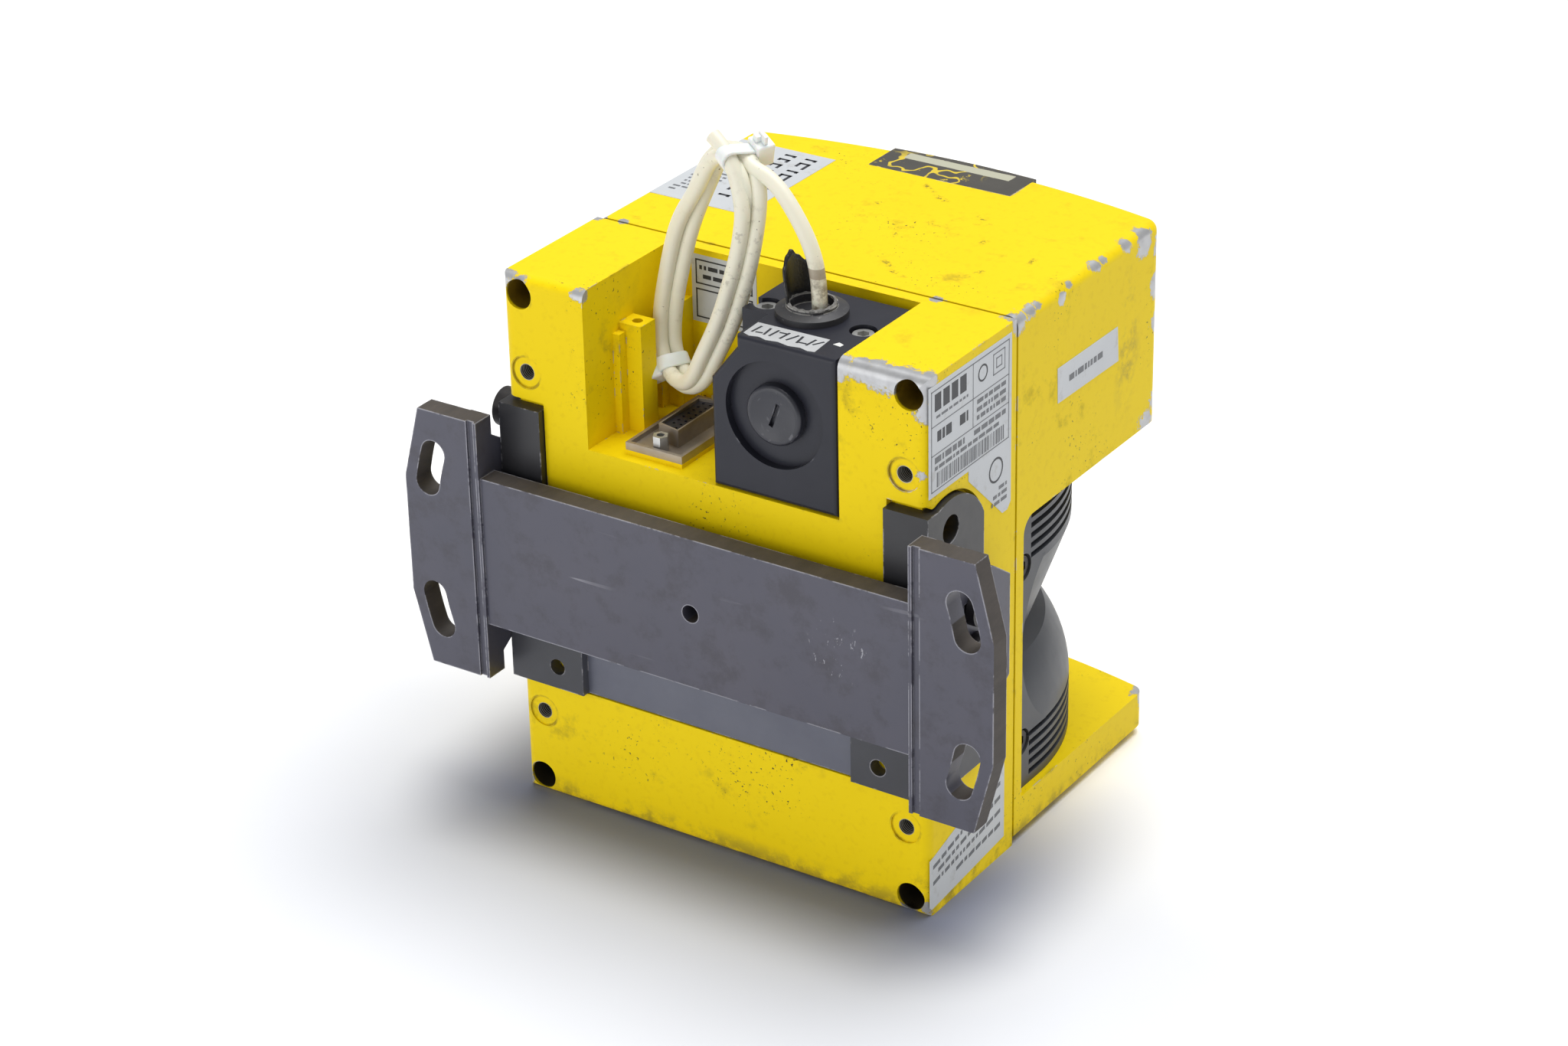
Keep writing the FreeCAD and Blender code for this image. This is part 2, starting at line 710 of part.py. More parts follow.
def connector_outline(margin):
    half_x = connector_width / 2 + margin
    half_y = connector_length / 2 + margin
    return [(tray_x - half_x, tray_y - half_y), (tray_x + half_x, tray_y - half_y + connector_taper),
            (tray_x + half_x, tray_y + half_y - connector_taper), (tray_x - half_x, tray_y + half_y)]


def plan_outline(setback):
    """Plan of the hood or foot plate: straight sides and a front that bulges forward."""
    return [(-half_width, front_rear_y), (-half_width, corner_y + setback, (as_size(0), front_y + setback)),
            (half_width, corner_y + setback), (half_width, front_rear_y)]


def round_plan(radius, rear):
    """Plan of the cover's inside or seal: half a circle about the scan axis and straight sides."""
    return [(-radius, rear), (-radius, scan_y, (as_size(0), scan_y - radius)),
            (radius, scan_y), (radius, rear)]


def front_housing():
    body = new_body("front_housing")
    slab(body, "z", hood_bottom_z, housing_height, plan_outline(0))
    slab(body, "z", base_height, hood_bottom_z,
         rectangle(-half_width, half_width, strip_front_y, front_rear_y))
    slab(body, "z", 0, base_height, plan_outline(base_setback))
    round_edges(body, plan_corner_radius, lambda e: abs(e.CenterOfMass.y) > 60 and len(e.Vertexes) == 2
                and e.BoundBox.ZLength > 5 and e.BoundBox.XLength < 0.01)
    round_edges(body, edge_round, lambda e: ends_at(e, "z", housing_height)
                and not ends_at(e, "y", front_rear_y))
    inside = cover_radius - cover_wall
    hollow(body, "z", hood_bottom_z - 1, housing_height - hood_shell, round_plan(inside, front_rear_y + 1))
    round_edges(body, base_bevel, lambda e: ends_at(e, "z", 0) and e.CenterOfMass.y < corner_y.value / 2,
                "Chamfer")
    add_skirts(body)
    corner = corner_screw_inset * 2
    for side in (-1, 1):
        outer, inner = side * (half_width - 1), side * (corner_screw_x - corner_screw_inset)
        slab(body, "y", front_rear_y - screw_grip - 4, front_rear_y,
             rectangle(inner, outer, housing_height - corner, housing_height - hood_shell + 1))
    hollow(body, "y", strip_front_y - 1, front_rear_y + 1,
           rectangle(-window_opening_half, window_opening_half, base_height, hood_bottom_z + 1))
    corners = [(side * corner_screw_x, z) for side in (-1, 1)
               for z in (corner_screw_inset, housing_height - corner_screw_inset)]
    hollow(body, "y", front_rear_y - screw_grip, front_rear_y + 1,
           *[(x, z, screw_thread_radius) for x, z in corners])
    hollow(body, "z", housing_height - panel_thickness, housing_height + 1, panel_outline(front_y - 5))
    hollow(body, "z", base_height - seal_height, base_height + 1, *seal_outlines())
    return body


def add_skirts(body):
    """Outer skins under the hood's sides that curve down into the strip behind the cover."""
    low, side_x = hood_bottom_z - hood_skirt_round, cover_radius + cover_gap
    reach = strip_front_y - hood_skirt_round
    share = 1 - math.sqrt(0.5)
    bend = (strip_front_y - hood_skirt_round * share, hood_bottom_z - hood_skirt_round * share)
    for side in (-1, 1):
        low_x, high_x = across(side, side_x, half_width)
        slab(body, "x", low_x, high_x,
             [(strip_front_y + 1, low), (strip_front_y + 1, hood_bottom_z + 1), (reach, hood_bottom_z + 1),
              (reach, hood_bottom_z, bend), (strip_front_y, low)])


def panel_outline(front):
    """The display panel follows the hood's front when no other front is given."""
    if front is None:
        bulge_share = (panel_half.value / half_width.value) ** 2
        edge = front_y + hood_bulge * bulge_share
        return [(-panel_half, panel_rear_y), (-panel_half, edge, (as_size(0), front_y)),
                (panel_half, edge), (panel_half, panel_rear_y)]
    return rectangle(-panel_half, panel_half, front, panel_rear_y)


def housing_gasket():
    body = new_body("housing_gasket")
    outer = half_width - gasket_inset
    inner = outer - gasket_width
    slab(body, "y", front_rear_y, rear_front_y,
         rectangle(-outer, outer, gasket_inset, housing_height - gasket_inset),
         rectangle(-inner, inner, gasket_inset + gasket_width, housing_height - gasket_inset - gasket_width))
    corners = [(side * corner_screw_x, z) for side in (-1, 1)
               for z in (corner_screw_inset, housing_height - corner_screw_inset)]
    hollow(body, "y", front_rear_y - 1, rear_front_y + 1,
           *[(x, z, screw_hole_radius) for x, z in corners])
    return body


def socket_screw(axis, x, y, z, head_radius, head_height, shank_radius, shank_length, turn):
    """A socket-head screw whose head starts at a point; turn is 1 when the head points up the axis."""
    step = {"x": (1, 0, 0), "y": (0, 1, 0), "z": (0, 0, 1)}[axis]

    def along(distance):
        return (x + step[0] * distance, y + step[1] * distance, z + step[2] * distance)
    deep = head_height * 0.55
    if turn > 0:
        head = cylinder(axis, *along(as_size(0)), head_radius, head_height)
        shank = cylinder(axis, *along(-as_size(shank_length)), shank_radius, shank_length)
        socket = hex_bar(axis, *along(head_height - deep), head_radius * 0.6, deep + 1)
    else:
        head = cylinder(axis, *along(-as_size(head_height)), head_radius, head_height)
        shank = cylinder(axis, *along(as_size(0)), shank_radius, shank_length)
        socket = hex_bar(axis, *along(-as_size(head_height) - 1), head_radius * 0.6, deep + 1)
    return cut(fuse(head, shank), socket)


def housing_screws():
    seat = rear_y - counterbore_depth
    length = seat - front_rear_y + screw_grip - 1
    screws = [socket_screw("y", side * corner_screw_x, seat, z, screw_head_radius, screw_head_height,
                           screw_thread_radius, length, 1)
              for side in (-1, 1) for z in (corner_screw_inset, housing_height - corner_screw_inset)]
    return node(group(*screws), "housing_screws")


def cover_profile(side):
    """Section of the optics cover on one side of the scan axis: a dome below the waist, a cone above."""
    outer, inner = cover_radius, cover_radius - cover_wall
    waist_in = waist_radius - cover_wall
    dome = outer - dome_setback
    dome_z = waist_z - dome_drop
    middle, middle_z = (outer + dome) / 2 + dome_swell, (lower_land_z + dome_z) / 2
    return [(side * outer, base_height), (side * outer, lower_land_z, (side * middle, middle_z)),
            (side * dome, dome_z), (side * waist_radius, waist_z), (side * outer, upper_land_z),
            (side * outer, hood_bottom_z), (side * inner, hood_bottom_z), (side * inner, upper_land_z),
            (side * waist_in, waist_z), (side * (dome - cover_wall), dome_z - cover_wall / 2,
            (side * (middle - cover_wall), middle_z - cover_wall / 2)), (side * inner, lower_land_z),
            (side * inner, base_height)]


def half_turn(body, kind, shapes):
    """Turns a section half way about the scan axis, on the window's side."""
    sketch = new_sketch(body, "XZ_Plane", -scan_y, shapes)
    obj = feature(body, kind, sketch)
    obj.ReferenceAxis = (sketch, ["V_Axis"])
    obj.Angle = 180
    obj.Reversed = True
    return obj


def optics_cover():
    body = new_body("optics_cover")
    turned = half_turn(body, "Revolution", [cover_profile(1)])
    doc.recompute()
    if body.Shape.BoundBox.YMin > scan_y.value - 10:
        turned.Reversed = False
    slab(body, "y", scan_y, strip_front_y, cover_profile(1), cover_profile(-1))
    add_side_panels(body)
    upper = [upper_land_z + cover_groove_margin + cover_groove_pitch * step for step in range(5)]
    lower = [base_height + cover_groove_margin + cover_groove_pitch * step for step in range(5)]
    shapes = [rectangle(cover_radius - cover_groove_depth, cover_radius + 2, z, z + cover_groove_width)
              for z in lower + upper]
    ring = half_turn(body, "Groove", shapes)
    ring.Reversed = turned.Reversed
    hollow(body, "y", scan_y, cover_groove_end_y, *shapes,
           *[[(-x, z) for x, z in reversed(shape)] for shape in shapes])
    add_cover_screw_seats(body)
    return body


def cover_screw_spots():
    return [(cover_screw_y, lower_land_z - cover_screw_rise),
            (cover_screw_y, upper_land_z + cover_screw_rise)]


def add_side_panels(body):
    """Flat cheeks that close the waist's sides in front of the strip, each with a hollow front edge."""
    waist_in = waist_radius - cover_wall
    for side in (-1, 1):
        low, high = across(side, waist_in, cover_radius)
        slab(body, "x", low, high,
             [(strip_front_y, lower_land_z - 1), (strip_front_y, upper_land_z + 1),
              (scan_y - side_panel_top_reach, upper_land_z + 1,
               (side_panel_middle_y, (lower_land_z + upper_land_z) / 2)),
              (scan_y - side_panel_reach, lower_land_z - 1)])


def add_cover_screw_seats(body):
    """Arched pockets beside the strip and round bosses behind them for the four side screws."""
    seat = cover_radius - cover_pocket_depth
    spots = cover_screw_spots()
    arches = [rectangle(y, strip_front_y + 1, z - cover_pocket_radius, z + cover_pocket_radius)
              for y, z in spots]
    for side in (-1, 1):
        low, high = across(side, seat - cover_screw_grip - 1, cover_radius - cover_wall + 1)
        slab(body, "x", low, high, *[(y, z, cover_boss_radius) for y, z in spots])
        low, high = across(side, seat, cover_radius + 1)
        hollow(body, "x", low, high, *[(y, z, cover_pocket_radius) for y, z in spots])
        hollow(body, "x", low, high, *arches)
        low, high = across(side, seat - cover_screw_grip, seat + 1)
        hollow(body, "x", low, high, *[(y, z, cover_screw_shank) for y, z in spots])


def cover_screws():
    seat = cover_radius - cover_pocket_depth
    return node(group(*[socket_screw("x", side * seat, y, z, cover_screw_radius, cover_screw_height,
                                     cover_screw_shank, cover_screw_grip, side)
                        for side in (-1, 1) for y, z in cover_screw_spots()]), "cover_screws")


def seal_outlines():
    """The seal's groove runs in the middle of the cover's lower edge."""
    outer, inner = cover_radius - seal_inset, cover_radius - cover_wall + seal_inset
    return [round_plan(outer, strip_front_y - seal_inset / 4),
            round_plan(inner, strip_front_y - seal_inset / 4 - (outer - inner))]


def cover_seal():
    body = new_body("cover_seal")
    slab(body, "z", base_height - seal_height, base_height, *seal_outlines())
    return body


def display_panel():
    body = new_body("display_panel")
    slab(body, "z", housing_height - panel_thickness, housing_height, panel_outline(None))
    hollow(body, "z", housing_height - glass_depth, housing_height + 1,
           rectangle(-glass_half, glass_half, glass_front_y, glass_rear_y))
    return body


def display_glass():
    return node(box(-glass_half, glass_half, glass_front_y, glass_rear_y,
                    housing_height - glass_depth, housing_height), "display_glass")


def connector_tray():
    bottom = recess_floor_z + tray_pad_height
    body = new_body("connector_tray")
    slab(body, "z", bottom, bottom + tray_thickness,
         rectangle(tray_x - tray_width / 2, tray_x + tray_width / 2,
                   tray_y - tray_length / 2, tray_y + tray_length / 2), connector_outline(-connector_wall))
    hollow(body, "z", bottom + tray_floor, bottom + tray_thickness + 1,
           rectangle(tray_x - tray_width / 2 + tray_lip, tray_x + tray_width / 2 - tray_lip,
                     tray_y - tray_length / 2 + tray_lip, tray_y + tray_length / 2 - tray_lip))
    return body


def connector_shell():
    bottom = recess_floor_z + tray_pad_height + tray_floor
    body = new_body("connector_shell")
    slab(body, "z", bottom, bottom + connector_height, connector_outline(0),
         connector_outline(-connector_wall))
    return body


def connector_insert():
    top = recess_floor_z + tray_pad_height + connector_height
    body = new_body("connector_insert")
    slab(body, "z", recess_floor_z - floor_thickness - 2, top, connector_outline(-connector_wall))
    pins = [(tray_x + pin_pitch * (row - 0.5), tray_y + pin_pitch * (place_number - 3.5), pin_radius)
            for row in (0, 1) for place_number in range(8 - row)]
    hollow(body, "z", top - pin_depth, top + 1, *pins)
    return body


def connector_screws():
    """Hexagon posts with a thread, one at each end of the connector."""
    bottom = recess_floor_z + tray_pad_height + tray_floor
    posts = []
    for side in (-1, 1):
        y = tray_y + side * (tray_length / 2 - jack_inset)
        posts.append(cut(hex_bar("z", tray_x, y, bottom, jack_radius, jack_height),
                         cylinder("z", tray_x, y, bottom + tray_floor, jack_thread_radius, jack_height)))
    return node(group(*posts), "connector_screws")


def plug_box():
    body = new_body("plug_box")
    bottom = recess_floor_z + plug_floor_gap
    rear = rear_y - plug_rear_gap
    slab(body, "y", plug_front_y, plug_shoulder_y, rectangle(plug_right_x, plug_left_x, bottom, plug_top_z))
    slab(body, "y", plug_shoulder_y, rear,
         [(plug_right_x, bottom), (plug_left_x, bottom), (plug_left_x, plug_shoulder_z),
          (plug_left_x - plug_bevel, plug_bevel_z), (plug_left_x - plug_bevel, plug_top_z),
          (plug_right_x, plug_top_z)])
    round_edges(body, plug_edge_round, lambda e: ends_at(e, "y", rear))
    hollow(body, "y", rear_y - plug_round_depth, rear_y + 1, (plug_round_x, plug_round_z, plug_round_radius))
    screws = ((plug_screw_left_x, plug_screw_left_y), (plug_screw_right_x, plug_screw_right_y))
    hollow(body, "z", plug_screw_seat_z, plug_top_z + 1, *[(x, y, plug_screw_pocket) for x, y in screws])
    hollow(body, "z", plug_screw_seat_z, plug_top_z + 1,
           rectangle(plug_screw_left_x, plug_left_x + 1, plug_screw_left_y - plug_screw_web,
                     plug_screw_left_y + plug_screw_web),
           rectangle(plug_right_x - 1, plug_screw_right_x, plug_screw_right_y - plug_screw_web,
                     plug_screw_right_y + plug_screw_web))
    hollow(body, "z", bottom - 1, plug_screw_seat_z + 1,
           *[(x, y, plug_screw_radius + plug_screw_play) for x, y in screws])
    return body


def plug_screws():
    length = plug_screw_seat_z - recess_floor_z + plug_screw_grip
    return node(group(*[socket_screw("z", x, y, plug_screw_seat_z, plug_screw_head, plug_screw_head_height,
                                     plug_screw_radius, length, 1)
                        for x, y in ((plug_screw_left_x, plug_screw_left_y),
                                     (plug_screw_right_x, plug_screw_right_y))]), "plug_screws")


def blank_plug():
    """Blanking button with a round rim, a shallow dish and a slanted coin slot."""
    start = rear_y - plug_round_depth
    end = start + blank_height
    body = doc.addObject("PartDesign::Body", "Button")
    slab(body, "y", start, end, (plug_round_x, plug_round_z, blank_radius))
    round_edges(body, blank_rim, lambda e: ends_at(e, "y", end))
    lean = math.radians(20)

    def corner(along, across):
        return (plug_round_x + blank_slot_half * (-along * math.sin(lean))
                + blank_slot_width * (across * math.cos(lean) / 2),
                plug_round_z + blank_slot_half * (along * math.cos(lean))
                + blank_slot_width * (across * math.sin(lean) / 2))
    slot = [corner(-1, 1), corner(1, 1), corner(1, -1), corner(-1, -1)]
    hollow(body, "y", end - blank_slot_depth, end + 1, slot)
    dish = doc.addObject("Part::Sphere", "Dish")
    bind(dish, "Radius", blank_dish_radius)
    place(dish, "z", plug_round_x, end + blank_dish_radius - blank_dish_depth, plug_round_z)
    return node(cut(body, dish), "blank_plug")


def cone(x, y, z, low_radius, high_radius, height):
    obj = doc.addObject("Part::Cone", "Taper")
    for path, value in (("Radius1", low_radius), ("Radius2", high_radius), ("Height", height)):
        bind(obj, path, value)
    return place(obj, "z", x, y, z)


def gland_ring():
    """Flat collar with a sloping top and the stub of its broken rim."""
    slope_z = plug_top_z + gland_height
    rim_z = slope_z + gland_slope_height
    low = cylinder("z", gland_x, gland_y, plug_top_z, gland_radius, gland_height)
    slope = cone(gland_x, gland_y, slope_z, gland_radius, gland_step_radius, gland_slope_height)
    rim = cylinder("z", gland_x, gland_y, rim_z, gland_step_radius, gland_rim_height)
    bore = cylinder("z", gland_x, gland_y, plug_top_z + 1, gland_bore, rim_z + gland_rim_height - plug_top_z)
    return node(cut(fuse(low, slope, rim), bore), "gland_ring")


def gland_shard():
    """What is left of the broken collar: a torn, flared piece of its wall with a round top."""
    bottom = plug_top_z + gland_height + gland_slope_height + gland_rim_height
    top_radius = gland_step_radius + shard_flare
    wall_ring = cut(cone(gland_x, gland_y, bottom, gland_step_radius, top_radius, shard_height),
                    cone(gland_x, gland_y, bottom, gland_step_radius - shard_wall, top_radius - shard_wall,
                         shard_height))
    round_top = cylinder("y", gland_x + shard_middle / 2, gland_y - 20, bottom + shard_middle,
                         shard_round, as_size(20) + gland_step_radius / 2)
    beside = box(gland_x - 1, gland_x + 20, gland_y - 20, gland_y + 20, bottom, bottom + shard_height)
    shard = doc.addObject("Part::MultiCommon", "Shard")
    shard.Shapes = [wall_ring, round_top, beside]
    return node(shard, "gland_shard")


def yoke():
    body = new_body("yoke")
    top, bottom = plate_middle_z + yoke_half_height, plate_middle_z - yoke_half_height
    slab(body, "y", yoke_front_y, yoke_rear_y - yoke_web_recess,
         rectangle(-yoke_outer_x, yoke_outer_x, bottom, tab_bottom_z - 1))
    for side in (-1, 1):
        outer, tab, pad = side * yoke_outer_x, side * tab_inner_x, side * foot_pad_inner_x
        slab(body, "y", yoke_front_y, yoke_rear_y,
             [(outer, bottom), (pad, bottom), (pad, foot_pad_top_z), (tab, foot_pad_top_z),
              (tab, top - ear_sag), (outer, top - ear_sag)])
        low, high = across(side, yoke_inner_x, yoke_outer_x)
        slab(body, "x", low, high, [(yoke_rear_y, bottom), (yoke_rear_y, top - ear_sag),
                                    (rear_y - ear_flat, top - ear_sag, ((ear_front_y + rear_y) / 2, top)),
                                    (ear_front_y, top - ear_bevel), (ear_front_y, bottom)])
        hollow(body, "x", low - 1, high + 1, (pivot_y, ear_hole_z, ear_hole_radius),
               (pivot_y, plate_middle_z, pivot_hole_radius),
               (pivot_y, plate_middle_z - lock_offset, lock_radius),
               (pivot_y, plate_middle_z + lock_offset, lock_radius))
    hollow(body, "y", yoke_front_y - 1, yoke_rear_y + 1, (yoke_screw_x, yoke_screw_z, yoke_screw_hole),
           (-yoke_screw_x, yoke_screw_z, yoke_screw_hole))
    return body


def arm_outline():
    """Side plate of the bracket: full height at its root, then stepped and tapered to its nose."""
    half = flange_height / 2
    upper = [(flange_rear_y, half), (arm_root_y, half), (arm_root_y, arm_root_half),
             (arm_step_y, arm_step_half), (arm_shoulder_y, arm_shoulder_half), (arm_nose_y, arm_nose_half)]
    return [(y, plate_middle_z + rise) for y, rise in upper] + \
        [(y, plate_middle_z - rise) for y, rise in reversed(upper)]


def slot_outline(side, above):
    """Slot on an arc about the middle of the plate."""
    def point(radius, angle):
        turn = math.radians(angle)
        return (side * (radius * math.cos(turn)), plate_middle_z + above * (radius * math.sin(turn)))
    start, end = slot_start_angle.value, slot_end_angle.value
    cap = math.degrees(slot_radius.value / slot_arc_radius.value)
    far, close = slot_arc_radius + slot_radius, slot_arc_radius - slot_radius
    middle = (start + end) / 2
    return [(*point(far, start), point(far, middle)), (*point(far, end), point(slot_arc_radius, end + cap)),
            (*point(close, end), point(close, middle)),
            (*point(close, start), point(slot_arc_radius, start - cap))]


def wall_bracket():
    body = new_body("wall_bracket")
    inner = flange_inner_x
    low, high = plate_middle_z - plate_height / 2, plate_middle_z + plate_height / 2
    slab(body, "y", plate_front_y, plate_rear_y, rectangle(-inner - 1, inner + 1, low, high))
    for side in (-1, 1):
        half = flange_height / 2
        outline = [(side * inner, plate_middle_z - half), (side * flange_end_x, plate_middle_z - half),
                   (side * flange_outer_x, plate_middle_z - flange_side_half),
                   (side * flange_outer_x, plate_middle_z + flange_side_half),
                   (side * flange_end_x, plate_middle_z + half), (side * inner, plate_middle_z + half)]
        slab(body, "y", flange_front_y, flange_rear_y, outline)
        low_x, high_x = across(side, inner, inner + bracket_thickness)
        slab(body, "x", low_x, high_x, arm_outline())
        hollow(body, "y", flange_front_y - 1, flange_rear_y + 1,
               slot_outline(side, 1), slot_outline(side, -1))
        hollow(body, "y", flange_rear_y - groove_depth, flange_rear_y + 1,
               rectangle(side * groove_x - groove_width / 2, side * groove_x + groove_width / 2,
                         plate_middle_z - half - 1, plate_middle_z + half + 1))
        locks = [plate_middle_z + sign * lock_offset for sign in (-1, 1)]
        hollow(body, "x", low_x - 1, high_x + 1, (pivot_y, plate_middle_z, pivot_hole_radius),
               *[rectangle(pivot_y - lock_slot_half - lock_radius, pivot_y + lock_slot_half + lock_radius,
                           z - lock_radius - 0.2, z + lock_radius + 0.2) for z in locks])
    hollow(body, "y", plate_front_y - 1, plate_rear_y + 1, (as_size(0), plate_middle_z, plate_hole_radius))
    return body


def pivot_screws():
    outer = flange_inner_x + bracket_thickness + head_gap
    inner = yoke_inner_x
    screws = [socket_screw("x", side * outer, pivot_y, plate_middle_z, pivot_head_radius, pivot_head_height,
                           pivot_pin_radius, outer - inner, side) for side in (-1, 1)]
    return node(group(*screws), "pivot_screws")


def lock_screws():
    outer = flange_inner_x + bracket_thickness + head_gap
    inner = yoke_inner_x
    screws = [socket_screw("x", side * outer, pivot_y, plate_middle_z + sign * lock_offset, lock_head_radius,
                           lock_head_height, lock_radius, outer - inner, side)
              for side in (-1, 1) for sign in (-1, 1)]
    return node(group(*screws), "lock_screws")


def yoke_screw():
    """The one side screw that is still in its ear."""
    length = yoke_thickness + yoke_clearance + side_thread_depth - side_thread_spare
    return node(socket_screw("x", yoke_outer_x, pivot_y, ear_hole_z, side_head_radius, side_head_height,
                             side_thread_radius, length, 1), "yoke_screw")


def scan_parts():
    """Motor in the hood, turning shaft with bearings, code disc and mirror, and the still optics below."""
    zero = as_size(0)
    top = housing_height - hood_shell
    bottom = top - motor_length
    motor = cut(cylinder("z", zero, scan_y, bottom, motor_radius, motor_length),
                cylinder("z", zero, scan_y, bottom - 1, bearing_radius, motor_length - 3 + 1))
    node(motor, "scan_motor")
    bearings = []
    for z in (bottom + 1, top - 3 - bearing_width):
        bearings.append(cut(cylinder("z", zero, scan_y, z, bearing_radius, bearing_width),
                            cylinder("z", zero, scan_y, z - 1, shaft_radius + shaft_clearance,
                                     bearing_width + 2)))
    node(group(*bearings), "motor_bearings")
    shaft = cylinder("z", zero, scan_y, mirror_top_z, shaft_radius, top - 3 - running_gap - mirror_top_z)
    node(shaft, "rotor_shaft")
    disc = cut(cylinder("z", zero, scan_y, encoder_z, encoder_radius, encoder_thickness),
               cylinder("z", zero, scan_y, encoder_z - 1, shaft_radius, encoder_thickness + 2))
    node(disc, "encoder_disc")
    middle_z = (mirror_top_z + mirror_bottom_z) / 2
    head = cylinder("z", zero, scan_y, mirror_bottom_z, mirror_head_radius, mirror_top_z - mirror_bottom_z)
    node(cut(head, tilted_block(middle_z, mirror_head_radius * 6)), "mirror_head")
    glass = doc.addObject("Part::MultiCommon", "Shared")
    glass.Shapes = [cylinder("z", zero, scan_y, mirror_bottom_z - 8, mirror_head_radius - 0.5,
                             mirror_top_z - mirror_bottom_z + 16), tilted_block(middle_z, mirror_thickness)]
    node(glass, "mirror_glass")


def tilted_block(middle_z, depth):
    """Everything within a depth below the plane that faces the window at 45 degrees."""
    depth = as_size(depth)
    block = doc.addObject("Part::Box", "Tilted")
    reach = mirror_head_radius * 4
    for path, value in (("Length", reach), ("Width", reach * 2), ("Height", depth)):
        bind(block, path, value)
    block.Placement = FreeCAD.Placement(FreeCAD.Vector(), FreeCAD.Rotation(FreeCAD.Vector(1, 0, 0), -45))
    share = math.sqrt(0.5)
    bind(block, ".Placement.Base.x", -reach / 2)
    bind(block, ".Placement.Base.y", scan_y - reach * share - depth * share)
    bind(block, ".Placement.Base.z", middle_z + reach * share - depth * share)
    return block


def receiver_parts():
    """Barrel on the foot plate with its lens, detector board and the laser in the middle."""
    zero = as_size(0)
    inner = barrel_radius - barrel_wall
    height = barrel_top_z - base_height
    node(cut(cylinder("z", zero, scan_y, base_height, barrel_radius, height),
             cylinder("z", zero, scan_y, base_height - 1, inner, height + 2)), "lens_barrel")
    lens_z = barrel_top_z - lens_thickness - 2
    dome = doc.addObject("Part::Sphere", "Dome")
    bind(dome, "Radius", inner * 2.4)
    place(dome, "z", zero, scan_y, lens_z + lens_thickness - inner * 2.4)
    round_part = doc.addObject("Part::MultiCommon", "Shared")
    round_part.Shapes = [cylinder("z", zero, scan_y, lens_z, inner, lens_thickness), dome]
    node(cut(round_part, cylinder("z", zero, scan_y, lens_z - 1, laser_radius, lens_thickness + 2)),
         "receiver_lens")
    node(cylinder("z", zero, scan_y, lens_z - laser_drop, laser_radius, laser_length), "laser_module")
    board = cylinder("z", zero, scan_y, base_height, inner, board_thickness)
    node(board, "detector_board")
    node(box(-detector_half, detector_half, scan_y - detector_half, scan_y + detector_half,
             base_height + board_thickness, base_height + board_thickness + chip_height), "detector_chip")
    post_z = base_height + board_thickness + chip_height
    post = cylinder("z", zero, scan_y, post_z, laser_post_radius, lens_z - laser_drop - post_z)
    node(post, "laser_post")


def code_reader():
    """Reads the code disc; it hangs from the hood beside the motor."""
    arm_x = encoder_radius + reader_gap
    outer = arm_x + reader_width
    front, rear = scan_y - reader_half, scan_y + reader_half
    body = box(encoder_radius - reader_width, outer, front, rear, encoder_z - reader_width,
               encoder_z + reader_height)
    stem = box(arm_x, outer, front, rear, encoder_z, housing_height - hood_shell)
    slot = box(encoder_radius - reader_width - 1, arm_x - reader_gap / 2, front - 1, rear + 1,
               encoder_z - reader_slot, encoder_z + encoder_thickness + reader_slot)
    return node(cut(fuse(body, stem), slot), "code_reader")


def boards():
    half = half_width - board_side_gap
    top_z = recess_floor_z - floor_thickness - board_top_gap
    for label, y in (("main_board", board_y), ("power_board", power_board_y)):
        node(box(-half, half, y, y + board_thickness, board_bottom_z, top_z), label)
    spots = [(side * (half - standoff_inset), z) for side in (-1, 1)
             for z in (board_bottom_z + standoff_inset, top_z - standoff_inset)]
    spans = ((board_y + board_thickness, power_board_y), (power_board_y + board_thickness, rear_y - wall))
    node(group(*[cylinder("y", x, start, z, standoff_radius, end - start)
                 for x, z in spots for start, end in spans]), "board_standoffs")
    chip_y, chip_z = board_y + board_thickness, board_bottom_z + chip_rise

    def chip(x, side_length):
        return box(x - side_length / 2, x + side_length / 2, chip_y, chip_y + chip_thickness,
                   chip_z, chip_z + side_length)
    node(group(chip(as_size(0), chip_size), chip(small_chip_offset, small_chip_size),
               chip(-small_chip_offset, small_chip_size)), "processor_chips")
    part_y = power_board_y + board_thickness
    relay_end = -relay_length / 2
    node(group(*[box(relay_end - relay_length, relay_end, part_y, part_y + relay_size, z, z + relay_size)
                 for z in (chip_z, chip_z + relay_pitch)]), "output_relays")
    middle_z = (board_bottom_z + top_z) / 2
    node(group(*[cylinder("y", capacitor_first_x + capacitor_pitch * step, part_y, middle_z, capacitor_radius,
                          capacitor_length) for step in range(3)]), "power_capacitors")
    interface_boards(half)


def interface_boards(half):
    """The board that hangs under the floor of the recess on four short pillars."""
    under = recess_floor_z - floor_thickness
    low = under - interface_drop
    edge = half - interface_margin
    front, rear = rear_front_y + interface_margin, rear_y - wall - interface_margin
    node(box(-edge, edge, front, rear, low - board_thickness, low), "interface_board")
    node(group(*[cylinder("z", side * (edge - standoff_inset), y, low, standoff_radius, interface_drop)
                 for side in (-1, 1) for y in (front + standoff_inset, rear - standoff_inset)]),
         "interface_standoffs")


def tangent_arc(before, corner, after):
    """The largest arc that rounds a corner of the route within nine tenths of its shorter run."""
    into, out = corner - before, after - corner
    turn = into.getAngle(out)
    reach = 0.45 * min(into.Length, out.Length)
    radius = reach / math.tan(turn / 2)
    first = corner - into.normalize() * reach
    last = corner + out.normalize() * reach
    chord_middle = (first + last) / 2
    middle = chord_middle + (corner - chord_middle).normalize() * (radius * (1 - math.cos(turn / 2)))
    return first, middle, last, radius


